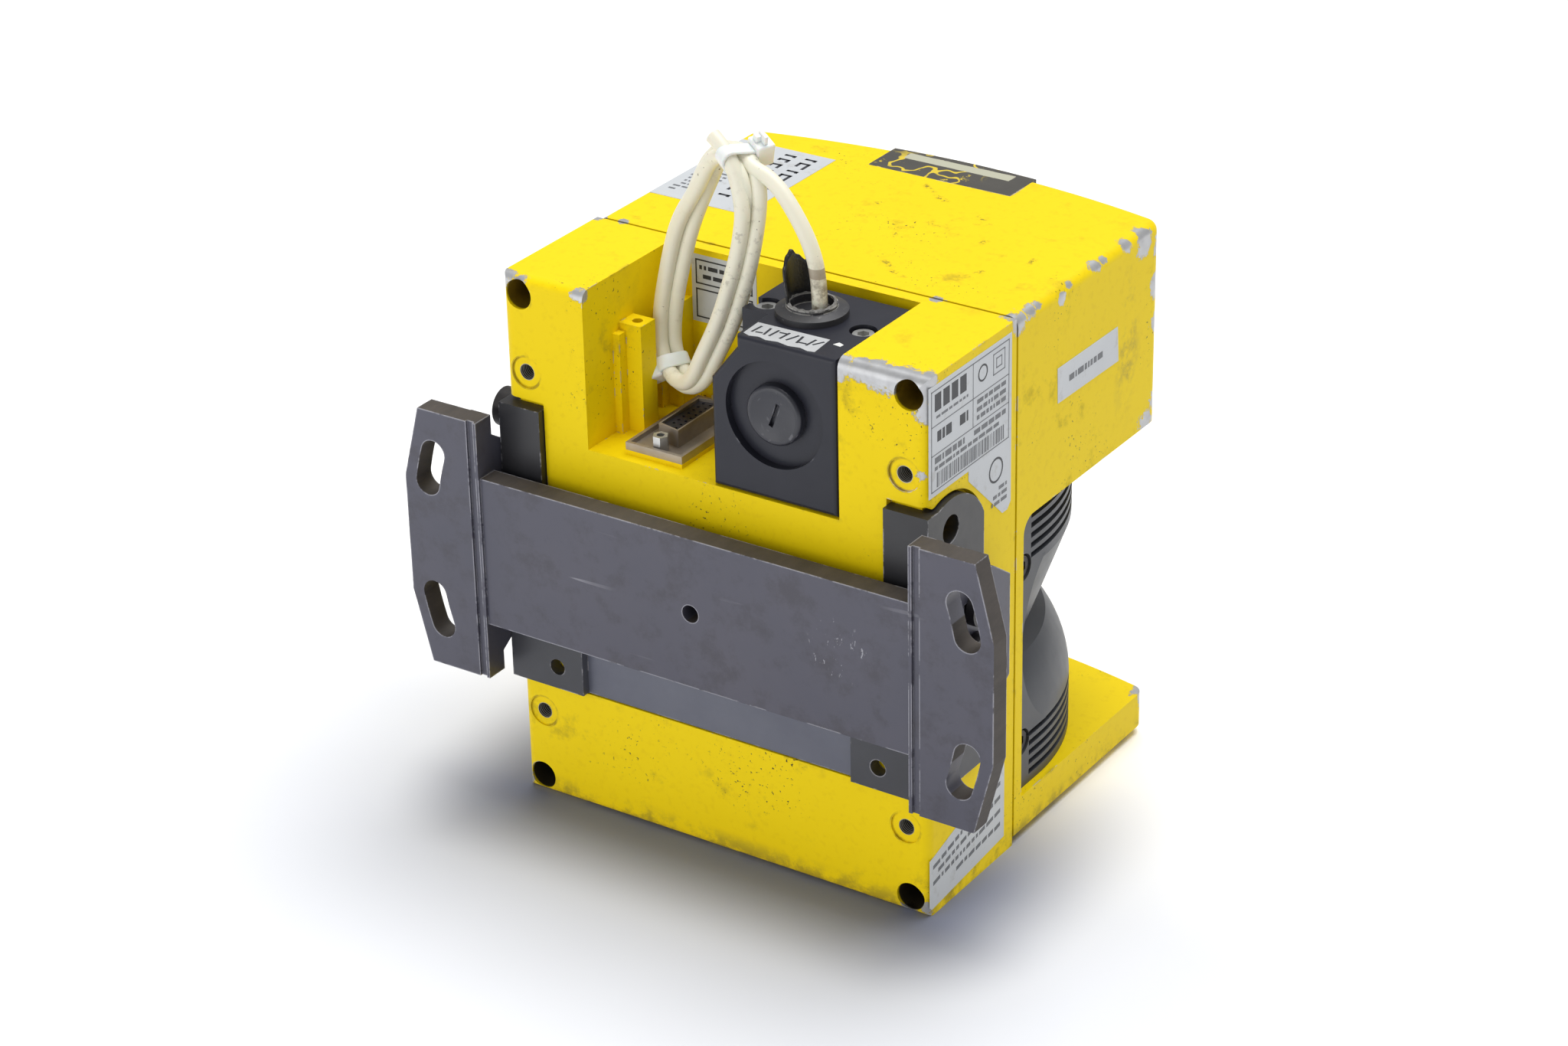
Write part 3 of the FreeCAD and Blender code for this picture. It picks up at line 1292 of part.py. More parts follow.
def cord_tube(points, label):
    """Round lead along straight runs joined by tangent arcs."""
    points = [FreeCAD.Vector(*point) for point in points]
    edges, start = [], points[0]
    for before, corner, after in zip(points, points[1:], points[2:]):
        first, middle, last, radius = tangent_arc(before, corner, after)
        print(label, "bend radius %.1f mm" % radius)
        edges.append(Part.LineSegment(start, first).toShape())
        edges.append(Part.Arc(first, middle, last).toShape())
        start = last
    edges.append(Part.LineSegment(start, points[-1]).toShape())
    path = Part.Wire(edges)
    tube = swept(path, points[0], points[1] - points[0], cord_radius.value)
    print(label, "length %.1f mm, volume over section times length %.4f"
          % (path.Length, tube.Volume / (math.pi * cord_radius.value ** 2 * path.Length)))
    obj = doc.addObject("Part::Feature", label)
    obj.Shape = tube
    return node(obj, label)


def swept(path, start, direction, radius):
    section = Part.Wire([Part.Circle(start, direction, radius).toShape()])
    return path.makePipeShell([section], True, False)


# The coil stands on edge: its middle, and its long and short directions
COIL_MIDDLE = FreeCAD.Vector(19.2, 41.8, 188.2)
COIL_LEAN = math.radians(17.5)
COIL_TURN = math.radians(-24)
COIL_LONG = FreeCAD.Vector(-math.sin(COIL_LEAN), 0, math.cos(COIL_LEAN))
COIL_SHORT = FreeCAD.Vector(math.cos(COIL_LEAN) * math.cos(COIL_TURN), math.sin(COIL_TURN),
                            math.sin(COIL_LEAN) * math.cos(COIL_TURN))
COIL_END_RADIUS = 13
COIL_STRAIGHT_HALF = 26.3
LEAD_POINTS = [(-24.2, 45.8, 185), (-24.2, 45.8, 195.5), (-20.9, 45, 206), (-13.5, 44, 216.5),
               (-4, 42.8, 224.2), (6.5, 42, 228.5)]
UPPER_TIE_TURN = math.radians(115)
LOWER_TIE_TURN = math.radians(-78)
TIE_HEAD_RADIUS = 2.4
TIE_HEAD_HEIGHT = 3.6
TAIL_POINTS = [(2, 42, 232.2), (9.5, 41.7, 233.8), (17, 41.2, 234)]


def coil_spot(short, long):
    return COIL_MIDDLE + COIL_SHORT * short + COIL_LONG * long


def cord_coil():
    """Outer shape of the tied turns: one thick round ring with straight sides."""
    side, end = COIL_END_RADIUS, COIL_STRAIGHT_HALF
    edges = [Part.LineSegment(coil_spot(side, -end), coil_spot(side, end)).toShape(),
             Part.Arc(coil_spot(side, end), coil_spot(0, end + side), coil_spot(-side, end)).toShape(),
             Part.LineSegment(coil_spot(-side, end), coil_spot(-side, -end)).toShape(),
             Part.Arc(coil_spot(-side, -end), coil_spot(0, -end - side), coil_spot(side, -end)).toShape()]
    obj = doc.addObject("Part::Feature", "cord_coil")
    obj.Shape = swept(Part.Wire(edges), coil_spot(side, -end), COIL_LONG, bundle_radius.value)
    return node(obj, "cord_coil")


def cable_tie(label, turn):
    """A band round the turns with its locking head outside, at an angle round one end of the coil."""
    outward = COIL_SHORT * math.cos(turn) + COIL_LONG * math.sin(turn)
    along = outward.cross(COIL_SHORT.cross(COIL_LONG)).normalize()
    end = math.copysign(COIL_STRAIGHT_HALF, turn)
    spot = coil_spot(0, end) + outward * COIL_END_RADIUS
    start = spot - along * (tie_width.value / 2)
    band = Part.makeCylinder(bundle_radius.value + tie_thickness.value, tie_width.value, start, along)
    bore = Part.makeCylinder(bundle_radius.value, tie_width.value + 2, start - along, along)
    head = Part.makeCylinder(TIE_HEAD_RADIUS, TIE_HEAD_HEIGHT, spot + outward * bundle_radius.value, outward)
    obj = doc.addObject("Part::Feature", label)
    obj.Shape = band.fuse(head).cut(bore)
    return node(obj, label)


def lead():
    cord_tube(LEAD_POINTS, "cord_lead")
    cord_coil()
    cord_tube(TAIL_POINTS, "cord_tail")
    cable_tie("tie_upper", UPPER_TIE_TURN)
    cable_tie("tie_lower", LOWER_TIE_TURN)


def check_and_write():
    """Stops on a failed object, then writes one file for each sub-part."""
    doc.recompute()
    for obj in doc.Objects:
        if "Invalid" in obj.State or "Error" in obj.State:
            raise RuntimeError("failed: %s %s" % (obj.Label, obj.State))
    os.makedirs("parts", exist_ok=True)
    for label, obj in nodes:
        shape = obj.Shape
        if shape.isNull() or not shape.isValid() or shape.Volume < 1:
            raise RuntimeError("bad shape: " + label)
        shape.exportStep("parts/%s.step" % label)
    print(len(nodes), "sub-parts written")


for make in (rear_housing, front_housing, housing_gasket, housing_screws, optics_cover, cover_screws,
             cover_seal, display_panel, display_glass, connector_tray, connector_shell, connector_insert,
             connector_screws, plug_box, plug_screws, blank_plug, gland_ring, gland_shard, yoke,
             wall_bracket, pivot_screws, lock_screws, yoke_screw, scan_parts, receiver_parts,
             code_reader, boards, lead):
    make()
check_and_write()
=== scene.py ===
# Safety laser scanner with its connector plug, coiled lead and wall bracket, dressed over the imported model.
# The scene is in metres and the sizes written here are in mm. +Z is up, the scan window faces -Y, the
# connectors and the bracket face +Y, and +X is to the left seen from behind.
import bpy
import bmesh
import math
from mathutils import Matrix, Vector, noise


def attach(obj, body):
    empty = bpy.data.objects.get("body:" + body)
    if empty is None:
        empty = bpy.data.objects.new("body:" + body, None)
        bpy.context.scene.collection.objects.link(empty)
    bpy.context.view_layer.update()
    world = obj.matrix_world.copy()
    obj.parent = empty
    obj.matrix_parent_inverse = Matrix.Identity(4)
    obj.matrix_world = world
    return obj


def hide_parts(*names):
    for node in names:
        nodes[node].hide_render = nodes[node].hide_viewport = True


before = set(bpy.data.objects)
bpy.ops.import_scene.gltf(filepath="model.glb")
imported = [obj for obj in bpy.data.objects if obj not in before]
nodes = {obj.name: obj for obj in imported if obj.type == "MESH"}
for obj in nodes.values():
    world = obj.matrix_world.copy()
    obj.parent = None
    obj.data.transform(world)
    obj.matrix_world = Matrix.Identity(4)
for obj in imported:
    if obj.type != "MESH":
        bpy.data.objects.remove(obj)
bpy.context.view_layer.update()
MM = 0.001

# Places on the housing that several materials and labels share, in mm
SIDE, REAR, TOP = 77.5, 71, 185
PLUG_TOP = 184
RECESS_WALL = 24
GLAND = (-21.5, 46, 188)
WELL_HIGH, WELL_LOW = (71, 178.8), (71, 6.2)
THREADS = ((69.4, 152.6), (69.4, 30.9))

# Layers of a label over its face: where each starts and ends, in mm
FILM, INK = (-0.05, 0.15), (0.15, 0.19)
PAPER, PEN = (-0.05, 0.12), (0.12, 0.15)


# Shader building
class Shader:
    """A small helper that adds nodes to one material and links them."""

    def __init__(self, name):
        self.material = bpy.data.materials.new(name)
        self.material.use_nodes = True
        self.tree = self.material.node_tree
        self.nodes = self.tree.nodes
        self.surface = self.nodes["Principled BSDF"]
        self.place = self.nodes.new("ShaderNodeTexCoord").outputs["Object"]

    def put(self, socket, value):
        if isinstance(value, bpy.types.NodeSocket):
            self.tree.links.new(value, socket)
        elif hasattr(socket.default_value, "__len__") and hasattr(value, "__len__") and len(value) == 3 \
                and len(socket.default_value) == 4:
            socket.default_value = (*value, 1)
        else:
            socket.default_value = value

    def stretch(self, scale, turn=(0, 0, 0)):
        """The object's own coordinates, scaled and then turned by degrees."""
        node = self.nodes.new("ShaderNodeMapping")
        self.put(node.inputs["Vector"], self.place)
        node.inputs["Scale"].default_value = scale
        node.inputs["Rotation"].default_value = [math.radians(angle) for angle in turn]
        return node.outputs[0]

    def noise(self, scale, detail=4, rough=0.55, place=None):
        node = self.nodes.new("ShaderNodeTexNoise")
        self.put(node.inputs["Vector"], place or self.place)
        for key, value in (("Scale", scale), ("Detail", detail), ("Roughness", rough)):
            node.inputs[key].default_value = value
        return node.outputs["Fac"]

    def math(self, kind, a, b=0.0):
        node = self.nodes.new("ShaderNodeMath")
        node.operation = kind
        self.put(node.inputs[0], a)
        self.put(node.inputs[1], b)
        return node.outputs[0]

    def span(self, value, low, high):
        """0 below low, 1 above high, smooth between; low may be the larger."""
        node = self.nodes.new("ShaderNodeMapRange")
        node.interpolation_type = "SMOOTHSTEP"
        self.put(node.inputs["Value"], value)
        if low <= high:
            edges = (low, high, 0, 1)
        else:
            edges = (high, low, 1, 0)
        for key, number in zip(("From Min", "From Max", "To Min", "To Max"), edges):
            node.inputs[key].default_value = number
        return node.outputs[0]

    def mix(self, share, a, b):
        node = self.nodes.new("ShaderNodeMix")
        node.data_type = "RGBA"
        self.put(node.inputs[0], share)
        self.put(node.inputs[6], a)
        self.put(node.inputs[7], b)
        return node.outputs[2]

    def blend(self, share, a, b):
        """Mixes two plain numbers."""
        node = self.nodes.new("ShaderNodeMix")
        self.put(node.inputs[0], share)
        self.put(node.inputs[2], a)
        self.put(node.inputs[3], b)
        return node.outputs[0]

    def axis(self, letter, vector=None):
        node = self.nodes.new("ShaderNodeSeparateXYZ")
        self.put(node.inputs[0], vector or self.place)
        return node.outputs["XYZ".index(letter)]

    def facing(self, letter):
        """How far the face looks along an axis."""
        geometry = self.nodes.new("ShaderNodeNewGeometry")
        return self.axis(letter, geometry.outputs["Normal"])

    def spot(self, centre, radius, soft=0.35, squeeze=(1, 1, 1)):
        """1 at a point, falling to 0 between soft times the radius and the radius."""
        moved = self.nodes.new("ShaderNodeVectorMath")
        moved.operation = "SUBTRACT"
        self.put(moved.inputs[0], self.place)
        moved.inputs[1].default_value = [value * MM for value in centre]
        scaled = self.nodes.new("ShaderNodeVectorMath")
        scaled.operation = "MULTIPLY"
        self.tree.links.new(moved.outputs[0], scaled.inputs[0])
        scaled.inputs[1].default_value = squeeze
        length = self.nodes.new("ShaderNodeVectorMath")
        length.operation = "LENGTH"
        self.tree.links.new(scaled.outputs[0], length.inputs[0])
        return self.span(length.outputs["Value"], radius * MM, radius * MM * soft)

    def within(self, letter, low, high, soft=0.3):
        """1 between two places on an axis."""
        place = self.axis(letter)
        return self.both(self.span(place, (low - soft) * MM, low * MM),
                         self.span(place, (high + soft) * MM, high * MM))

    def bore(self, x, z, radius, soft=0.3):
        """1 within a radius of two mirrored lines that run along Y."""
        across = self.math("SUBTRACT", self.math("ABSOLUTE", self.axis("X")), x * MM)
        up = self.math("SUBTRACT", self.axis("Z"), z * MM)
        square = self.math("ADD", self.math("MULTIPLY", across, across), self.math("MULTIPLY", up, up))
        return self.span(self.math("SQRT", square), (radius + soft) * MM, radius * MM)

    def streak(self, centre, half, turn):
        """1 along a short thin line in a level face."""
        node = self.nodes.new("ShaderNodeMapping")
        node.vector_type = "TEXTURE"
        self.put(node.inputs["Vector"], self.place)
        node.inputs["Location"].default_value = [value * MM for value in centre]
        node.inputs["Rotation"].default_value = (0, 0, math.radians(turn))
        along = self.math("ABSOLUTE", self.axis("X", node.outputs[0]))
        waver = self.math("MULTIPLY", self.math("SUBTRACT", self.noise(60, 3), 0.5), 0.0035)
        across = self.math("ABSOLUTE", self.math("ADD", self.axis("Y", node.outputs[0]), waver))
        level = self.math("ABSOLUTE", self.axis("Z", node.outputs[0]))
        return self.both(self.span(along, half * MM, half * 0.4 * MM), self.span(across, 0.0016, 0.0002),
                         self.span(level, 0.0006, 0.0004))

    def edge(self, radius, starts, full):
        """1 along edges, where the rounded normal turns away from the true one."""
        rounded = self.nodes.new("ShaderNodeBevel")
        rounded.samples = 6
        rounded.inputs["Radius"].default_value = radius * MM
        geometry = self.nodes.new("ShaderNodeNewGeometry")
        dot = self.nodes.new("ShaderNodeVectorMath")
        dot.operation = "DOT_PRODUCT"
        self.tree.links.new(rounded.outputs[0], dot.inputs[0])
        self.tree.links.new(geometry.outputs["Normal"], dot.inputs[1])
        return self.span(dot.outputs["Value"], starts, full)

    def any(self, *masks):
        result = masks[0]
        for mask in masks[1:]:
            result = self.math("MAXIMUM", result, mask)
        return result

    def both(self, *masks):
        result = masks[0]
        for mask in masks[1:]:
            result = self.math("MULTIPLY", result, mask)
        return result

    def relief(self, height, depth, strength=1.0):
        node = self.nodes.new("ShaderNodeBump")
        self.put(node.inputs["Height"], height)
        node.inputs["Distance"].default_value = depth * MM
        node.inputs["Strength"].default_value = strength
        self.tree.links.new(node.outputs[0], self.surface.inputs["Normal"])

    def finish(self, colour, rough, metal=0.0, **plain):
        self.put(self.surface.inputs["Base Color"], colour)
        self.put(self.surface.inputs["Roughness"], rough)
        self.put(self.surface.inputs["Metallic"], metal)
        for key, value in plain.items():
            self.put(self.surface.inputs[key.replace("_", " ")], value)
        return self.material


def dress(material, *names):
    for name in names:
        mesh = nodes[name].data
        mesh.materials.clear()
        mesh.materials.append(material)


def add_mesh(name, vertices, faces, material, body="scanner", smooth=False):
    mesh = bpy.data.meshes.new(name)
    mesh.from_pydata([tuple(value * MM for value in vertex) for vertex in vertices], [], faces)
    mesh.validate()
    if smooth:
        mesh.shade_smooth()
    obj = bpy.data.objects.new(name, mesh)
    bpy.context.scene.collection.objects.link(obj)
    mesh.materials.append(material)
    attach(obj, body)
    return obj


# Places where the paint is chipped to grey metal: middle in mm, radius
CHIPS = [((-76.5, 71, 182), 15), ((-70, 71, 183.5), 14), ((-64, 71, 183.5), 13), ((-58.5, 71, 183.5), 12),
         ((-53, 71, 183.5), 11), ((-48, 71, 183), 11), ((-77.4, 71, 174.5), 10), ((-75, 71, 153.5), 4),
         ((-77.4, 71, 92), 4.5), ((76.4, 71, 184), 10), ((70, 71, 184.6), 6), ((47.2, 71, 184), 7),
         ((77, 19, 185), 6), ((68, 18.5, 185), 4.5), ((-77.2, -49.4, 184.5), 6.5), ((-77.4, -35, 184.8), 5),
         ((-77.4, -30, 184.8), 7), ((-77.4, -14, 184.8), 5), ((-77.4, 5, 184.8), 5), ((-77.4, 10, 184.8), 7),
         ((-77.4, 18, 184.8), 11), ((-49.3, 19.3, 185), 5), ((-77.5, -8, 181), 5), ((-77.5, -73, 176), 14),
         ((-77.5, -60, 181), 11), ((-77.5, -70, 164), 11), ((-77.5, -74, 122), 15), ((-77.5, -64, 117), 10),
         ((-77.5, -70, 150), 9), ((-77.5, -68, 14), 11), ((-70.7, 71, 0.5), 8), ((-77.5, 71, 3), 6),
         ((77, 71, 3), 6), ((30, -88, 116), 5), ((-12, -80, 4), 6)]

# Fine dark scratches in the top of the hood: middle in mm, half length, turn about Z
SCRATCHES = [((-1, -55, 185), 5, 150), ((-9, -50, 185), 5, 156), ((-29, -42, 185), 4, 138),
             ((-34, -38, 185), 3, 128), ((6, -36, 185), 2, 40), ((-22, 4, 185), 4.5, 140),
             ((-28, 9, 185), 4, 156), ((-38.5, -26, 185), 2.4, 80), ((-11.6, -17, 185), 3, 120),
             ((33, 3, 185), 3, 20), ((-60, -20, 185), 4, 100), ((-50, -5, 185), 2.5, 60)]


def yellow_paint():
    """Bright yellow paint, smudged and chipped along its edges, with patchy painted shade along its base,
    brown and near-black inside the bores, and painted light and shade on the thread rings.
    """
    s = Shader("yellow_paint")
    colour = s.mix(s.noise(14, 3), (0.86, 0.625, 0.0), (0.93, 0.70, 0.003))
    fine = s.noise(420, 2, 0.5)
    colour = s.mix(s.both(s.span(fine, 0.52, 0.75), 0.18), colour, (0.66, 0.42, 0.0))
    smudge = s.both(s.span(s.noise(55, 6, 0.7), 0.56, 0.72), s.span(s.noise(12, 2), 0.42, 0.60))
    colour = s.mix(s.both(smudge, 0.45), colour, (0.20, 0.14, 0.02))
    smear = s.both(s.spot((-SIDE, -50, 150), 34, 0.1, (1, 3.2, 1)), s.span(s.noise(60, 7, 0.75), 0.46, 0.66))
    colour = s.mix(s.both(smear, 0.7), colour, (0.30, 0.21, 0.05))
    specks = s.span(s.noise(950, 2, 0.5), 0.67, 0.71)
    colour = s.mix(s.both(specks, s.span(s.noise(25, 2), 0.5, 0.65)), colour, (0.06, 0.045, 0.02))
    streaks = s.any(*[s.streak(*line) for line in SCRATCHES])
    streak = s.both(streaks, s.span(s.noise(500, 6, 0.75), 0.47, 0.58))
    colour = s.mix(s.both(streak, 0.75), colour, (0.07, 0.05, 0.02))
    # Patchy painted shade along the base of the housing, mixed in with the grime along the edges below.
    base_shade = s.both(s.within("Z", -2, 3, 6), s.span(s.noise(90, 6, 0.7), 0.42, 0.62))
    grime = s.both(s.edge(2.2, 0.995, 0.90), s.span(s.noise(70, 5, 0.7), 0.54, 0.70))
    colour = s.mix(s.both(s.any(grime, base_shade), 0.5), colour, (0.13, 0.10, 0.03))
    chip = s.both(s.edge(0.8, 0.97, 0.86), s.span(s.noise(95, 6, 0.65), 0.605, 0.62))
    local = s.any(*[s.spot(centre, radius, 0.05) for centre, radius in CHIPS])
    ragged = s.span(s.math("ADD", local, s.math("MULTIPLY", s.noise(170, 9, 0.85), 2.6)), 1.92, 1.97)
    chip = s.any(chip, s.both(ragged, s.span(local, 0.0, 0.08)))
    metal = s.mix(s.noise(260, 4), (0.34, 0.34, 0.35), (0.62, 0.63, 0.64))
    colour = s.mix(chip, colour, metal)
    rear_half = s.span(s.axis("Y"), 0.0225, 0.0235)
    behind = s.both(rear_half, s.span(s.axis("Y"), 0.0703, 0.0695))
    thread = s.any(*[s.bore(*spot, 2.75, 0.1) for spot in THREADS])
    # Inside the bores the colour turns brown in the upper ones and near-black in the lower ones; this noise
    # only varies that tone.
    dirt = s.noise(160, 5, 0.7)
    brown = s.mix(dirt, (0.05, 0.03, 0.005), (0.30, 0.19, 0.01))
    black = s.mix(dirt, (0.008, 0.007, 0.006), (0.05, 0.04, 0.02))
    colour = s.mix(s.both(behind, s.bore(*WELL_HIGH, 5.0)), colour, brown)
    colour = s.mix(s.both(behind, s.bore(*WELL_LOW, 5.0)), colour, black)
    rings = s.any(*[s.both(rear_half, s.bore(*spot, 5.7), s.math("SUBTRACT", 1.0, s.bore(*spot, 4.7)))
                    for spot in THREADS])
    colour = s.mix(s.both(rings, s.span(s.noise(120, 4, 0.6), 0.40, 0.62), 0.6), colour, (0.20, 0.13, 0.02))
    # Bare steel inside the thread holes, striped at the thread's pitch with painted light on the crests and
    # painted shade in the roots.
    thread_shading = s.math("SINE", s.math("MULTIPLY", s.axis("Y"), 2 * math.pi / (0.8 * MM)))
    steel = s.mix(s.span(thread_shading, -0.4, 0.6), (0.10, 0.09, 0.07), (0.70, 0.68, 0.62))
    inside = s.both(thread, rear_half, s.span(s.axis("Y"), 0.0708, 0.0704))
    colour = s.mix(inside, colour, steel)
    bare = s.any(chip, inside)
    rough = s.blend(bare, s.blend(smudge, 0.48, 0.62), 0.36)
    s.relief(s.math("SUBTRACT", s.math("MULTIPLY", s.noise(900, 2), 0.10), chip), 0.12, 0.6)
    return s.finish(colour, rough, s.math("MULTIPLY", bare, 0.55), Specular_IOR_Level=0.16)


def satin(name, dark, light, rough=0.5, scale=60, metal=0.0, wear=None, relief=0.02, **plain):
    """A plain finish with cloudy tone, fine grain and, if asked, light worn edges."""
    s = Shader(name)
    colour = s.mix(s.noise(scale, 5, 0.6), dark, light)
    rubbed = s.noise(scale * 7, 3)
    if wear:
        worn = s.both(s.edge(0.8, 0.985, 0.88), s.span(s.noise(110, 5, 0.65), 0.62, 0.70))
        colour = s.mix(worn, colour, wear)
    s.relief(rubbed, relief, 0.5)
    return s.finish(colour, s.blend(rubbed, rough - 0.06, rough + 0.08), metal, **plain)


def bracket_steel():
    """Dark blue-grey paint with brown cut edges, fine scratches and a few rubbed marks."""
    s = Shader("grey_steel")
    colour = s.mix(s.noise(18, 5, 0.6), (0.063, 0.066, 0.093), (0.098, 0.093, 0.118))
    colour = s.mix(s.both(s.span(s.noise(70, 6, 0.7), 0.46, 0.68), 0.6), colour, (0.052, 0.048, 0.058))
    inboard = s.span(s.math("ABSOLUTE", s.axis("X")), 0.095, 0.094)
    arms = s.both(s.math("ABSOLUTE", s.facing("X")), inboard)
    cut = s.span(s.any(s.math("ABSOLUTE", s.facing("Y")), arms), 0.55, 0.35)
    brown = s.mix(s.noise(160, 5, 0.7, s.stretch((1, 0.3, 1))), (0.03, 0.027, 0.026), (0.10, 0.083, 0.07))
    colour = s.mix(cut, colour, brown)
    masks = []
    for turn, scale in ((22, 260), (-48, 200), (78, 230)):
        lines = s.noise(1.0, 2, 0.4, s.stretch((scale * 0.05, scale * 0.05, scale), (0, turn, 0)))
        fade = s.span(s.noise(16 + turn * 0.05, 3), 0.56, 0.68)
        masks.append(s.both(s.span(lines, 0.685, 0.70), fade))
    fibres = s.noise(1.0, 5, 0.75, s.stretch((420, 420, 160), (0, 25, 0)))
    scrawl = s.both(s.spot((-54, 85, 95), 12, 0.7), s.span(fibres, 0.60, 0.63))
    scratch = s.any(s.both(s.any(*masks), 0.5), s.both(scrawl, 0.8))
    worn = s.both(s.edge(0.8, 0.99, 0.88), s.span(s.noise(80, 6, 0.7), 0.43, 0.52))
    colour = s.mix(s.any(scratch, s.both(worn, 0.8)), colour, (0.42, 0.42, 0.46))
    s.relief(s.noise(700, 3), 0.03, 0.5)
    return s.finish(colour, s.blend(cut, 0.42, 0.7), s.blend(worn, 0.15, 0.5))


def yoke_steel():
    """Black paint with painted shade over the upper part and a painted lighter bluish sheen on the strip
    between the foot pads, with worn edges.
    """
    s = Shader("black_steel")
    cloud = s.noise(40, 5, 0.6)
    colour = s.mix(cloud, (0.030, 0.031, 0.037), (0.062, 0.064, 0.076))
    # Painted shade: the upper part of the yoke is made darker.
    upper_shade = s.mix(cloud, (0.014, 0.014, 0.016), (0.032, 0.032, 0.037))
    colour = s.mix(s.span(s.axis("Z"), 0.098, 0.112), colour, upper_shade)
    # Painted sheen: the strip between the foot pads is made lighter and bluish, standing in for the floor's
    # reflection.
    strip = s.both(s.within("Z", 42, 62, 0.2), s.span(s.math("ABSOLUTE", s.axis("X")), 0.0512, 0.0508))
    strip_sheen = s.mix(s.noise(30, 5, 0.65), (0.085, 0.09, 0.125), (0.16, 0.17, 0.21))
    colour = s.mix(strip, colour, strip_sheen)
    worn = s.both(s.edge(0.8, 0.985, 0.88), s.span(s.noise(110, 5, 0.65), 0.50, 0.58))
    colour = s.mix(worn, colour, (0.34, 0.34, 0.37))
    rubbed = s.noise(280, 3)
    s.relief(rubbed, 0.02, 0.5)
    return s.finish(colour, s.blend(rubbed, 0.32, 0.46))


def cord_jacket():
    """Ivory jacket with grey-brown handling marks, a ring of tape and dirt where it leaves the gland."""
    s = Shader("cord_jacket")
    colour = s.mix(s.noise(30, 3), (0.80, 0.77, 0.60), (0.88, 0.85, 0.72))
    dirt = s.both(s.span(s.noise(130, 7, 0.7), 0.54, 0.68), s.span(s.noise(22, 2), 0.48, 0.66))
    colour = s.mix(s.both(dirt, 0.4), colour, (0.46, 0.41, 0.28))
    specks = s.span(s.noise(700, 2), 0.72, 0.75)
    colour = s.mix(s.both(specks, 0.7), colour, (0.16, 0.12, 0.08))
    scuff = s.both(s.spot((4, 48, 190), 30, 0.5, (1.8, 1.6, 0.8)), s.span(s.noise(300, 6, 0.7), 0.52, 0.66))
    colour = s.mix(s.both(scuff, 0.6), colour, (0.40, 0.37, 0.28))
    root = s.span(s.axis("X"), -0.013, -0.017)
    near_gland = s.both(s.span(s.axis("Z"), 0.206, 0.190), root)
    stain = s.both(near_gland, s.span(s.noise(240, 5, 0.7), 0.34, 0.60), 0.85)
    colour = s.mix(stain, colour, (0.20, 0.15, 0.09))
    tape = s.both(s.within("Z", 196.5, 199.5, 0.1), root)
    colour = s.mix(s.both(tape, 0.8), colour, (0.30, 0.24, 0.17))
    s.relief(s.math("ADD", s.noise(300, 4), s.math("MULTIPLY", tape, 6)), 0.05, 0.35)
    return s.finish(colour, 0.40, Subsurface_Weight=0.08, Subsurface_Scale=0.002)


def nylon():
    """White nylon of the cable ties."""
    s = Shader("tie_nylon")
    colour = s.mix(s.noise(120, 3), (0.82, 0.83, 0.82), (0.90, 0.90, 0.88))
    s.relief(s.noise(400, 2), 0.03, 0.3)
    return s.finish(colour, 0.35, Subsurface_Weight=0.25, Subsurface_Scale=0.003)


def gland_plastic():
    """Black plastic, torn to a pale ragged line round the hole that the lead comes out of."""
    s = Shader("gland_plastic")
    colour = s.mix(s.noise(90, 4), (0.02, 0.02, 0.024), (0.045, 0.045, 0.05))
    torn = s.both(s.edge(0.8, 0.985, 0.90), s.span(s.noise(260, 5, 0.7), 0.42, 0.52))
    near = s.spot(GLAND, 8.6, 0.9)
    dust = s.both(s.span(s.noise(400, 5, 0.7), 0.60, 0.72), 0.25)
    colour = s.mix(s.any(s.both(torn, near), dust), colour, (0.50, 0.49, 0.46))
    s.relief(s.noise(300, 4), 0.1, 0.5)
    return s.finish(colour, 0.42)


def button_plastic():
    """Black plug top, lightly scratched round its slot."""
    s = Shader("button_plastic")
    colour = s.mix(s.noise(60, 4), (0.016, 0.017, 0.024), (0.030, 0.031, 0.042))
    lines = s.noise(1.0, 3, 0.5, s.stretch((300, 2000, 300), (20, 0, 35)))
    scratch = s.both(s.span(lines, 0.62, 0.68), s.span(s.noise(150, 3), 0.46, 0.62), 0.35)
    worn = s.both(s.edge(0.6, 0.985, 0.88), s.span(s.noise(200, 5, 0.7), 0.50, 0.60), 0.6)
    colour = s.mix(s.any(scratch, worn), colour, (0.22, 0.22, 0.24))
    s.relief(s.noise(500, 3), 0.04, 0.4)
    return s.finish(colour, 0.34)


def panel_face():
    """Dark grey display panel, its left half seen from behind scraped down to yellow."""
    s = Shader("panel_plastic")
    colour = s.mix(s.noise(60, 5, 0.65), (0.040, 0.038, 0.034), (0.078, 0.072, 0.06))
    curl = s.span(s.math("ABSOLUTE", s.math("SUBTRACT", s.noise(75, 2, 0.4), 0.5)), 0.020, 0.012)
    marks = s.any(curl, s.span(s.noise(160, 5, 0.7), 0.60, 0.64))
    scrape = s.both(marks, s.span(s.axis("X"), -0.014, -0.004), s.span(s.noise(45, 3), 0.42, 0.52))
    colour = s.mix(s.both(scrape, 0.9), colour, (0.78, 0.58, 0.02))
    worn = s.both(s.edge(0.8, 0.985, 0.88), s.span(s.noise(150, 5, 0.7), 0.48, 0.6))
    colour = s.mix(worn, colour, (0.42, 0.38, 0.28))
    s.relief(s.noise(600, 3), 0.06, 0.4)
    return s.finish(colour, 0.5)


def label_film():
    """Pale film, faintly clouded and smudged."""
    s = Shader("label_film")
    colour = s.mix(s.noise(40, 5, 0.6), (0.52, 0.545, 0.57), (0.63, 0.655, 0.675))
    smudge = s.both(s.span(s.noise(170, 6, 0.7), 0.56, 0.70), 0.4)
    colour = s.mix(smudge, colour, (0.36, 0.35, 0.32))
    return s.finish(colour, 0.38)


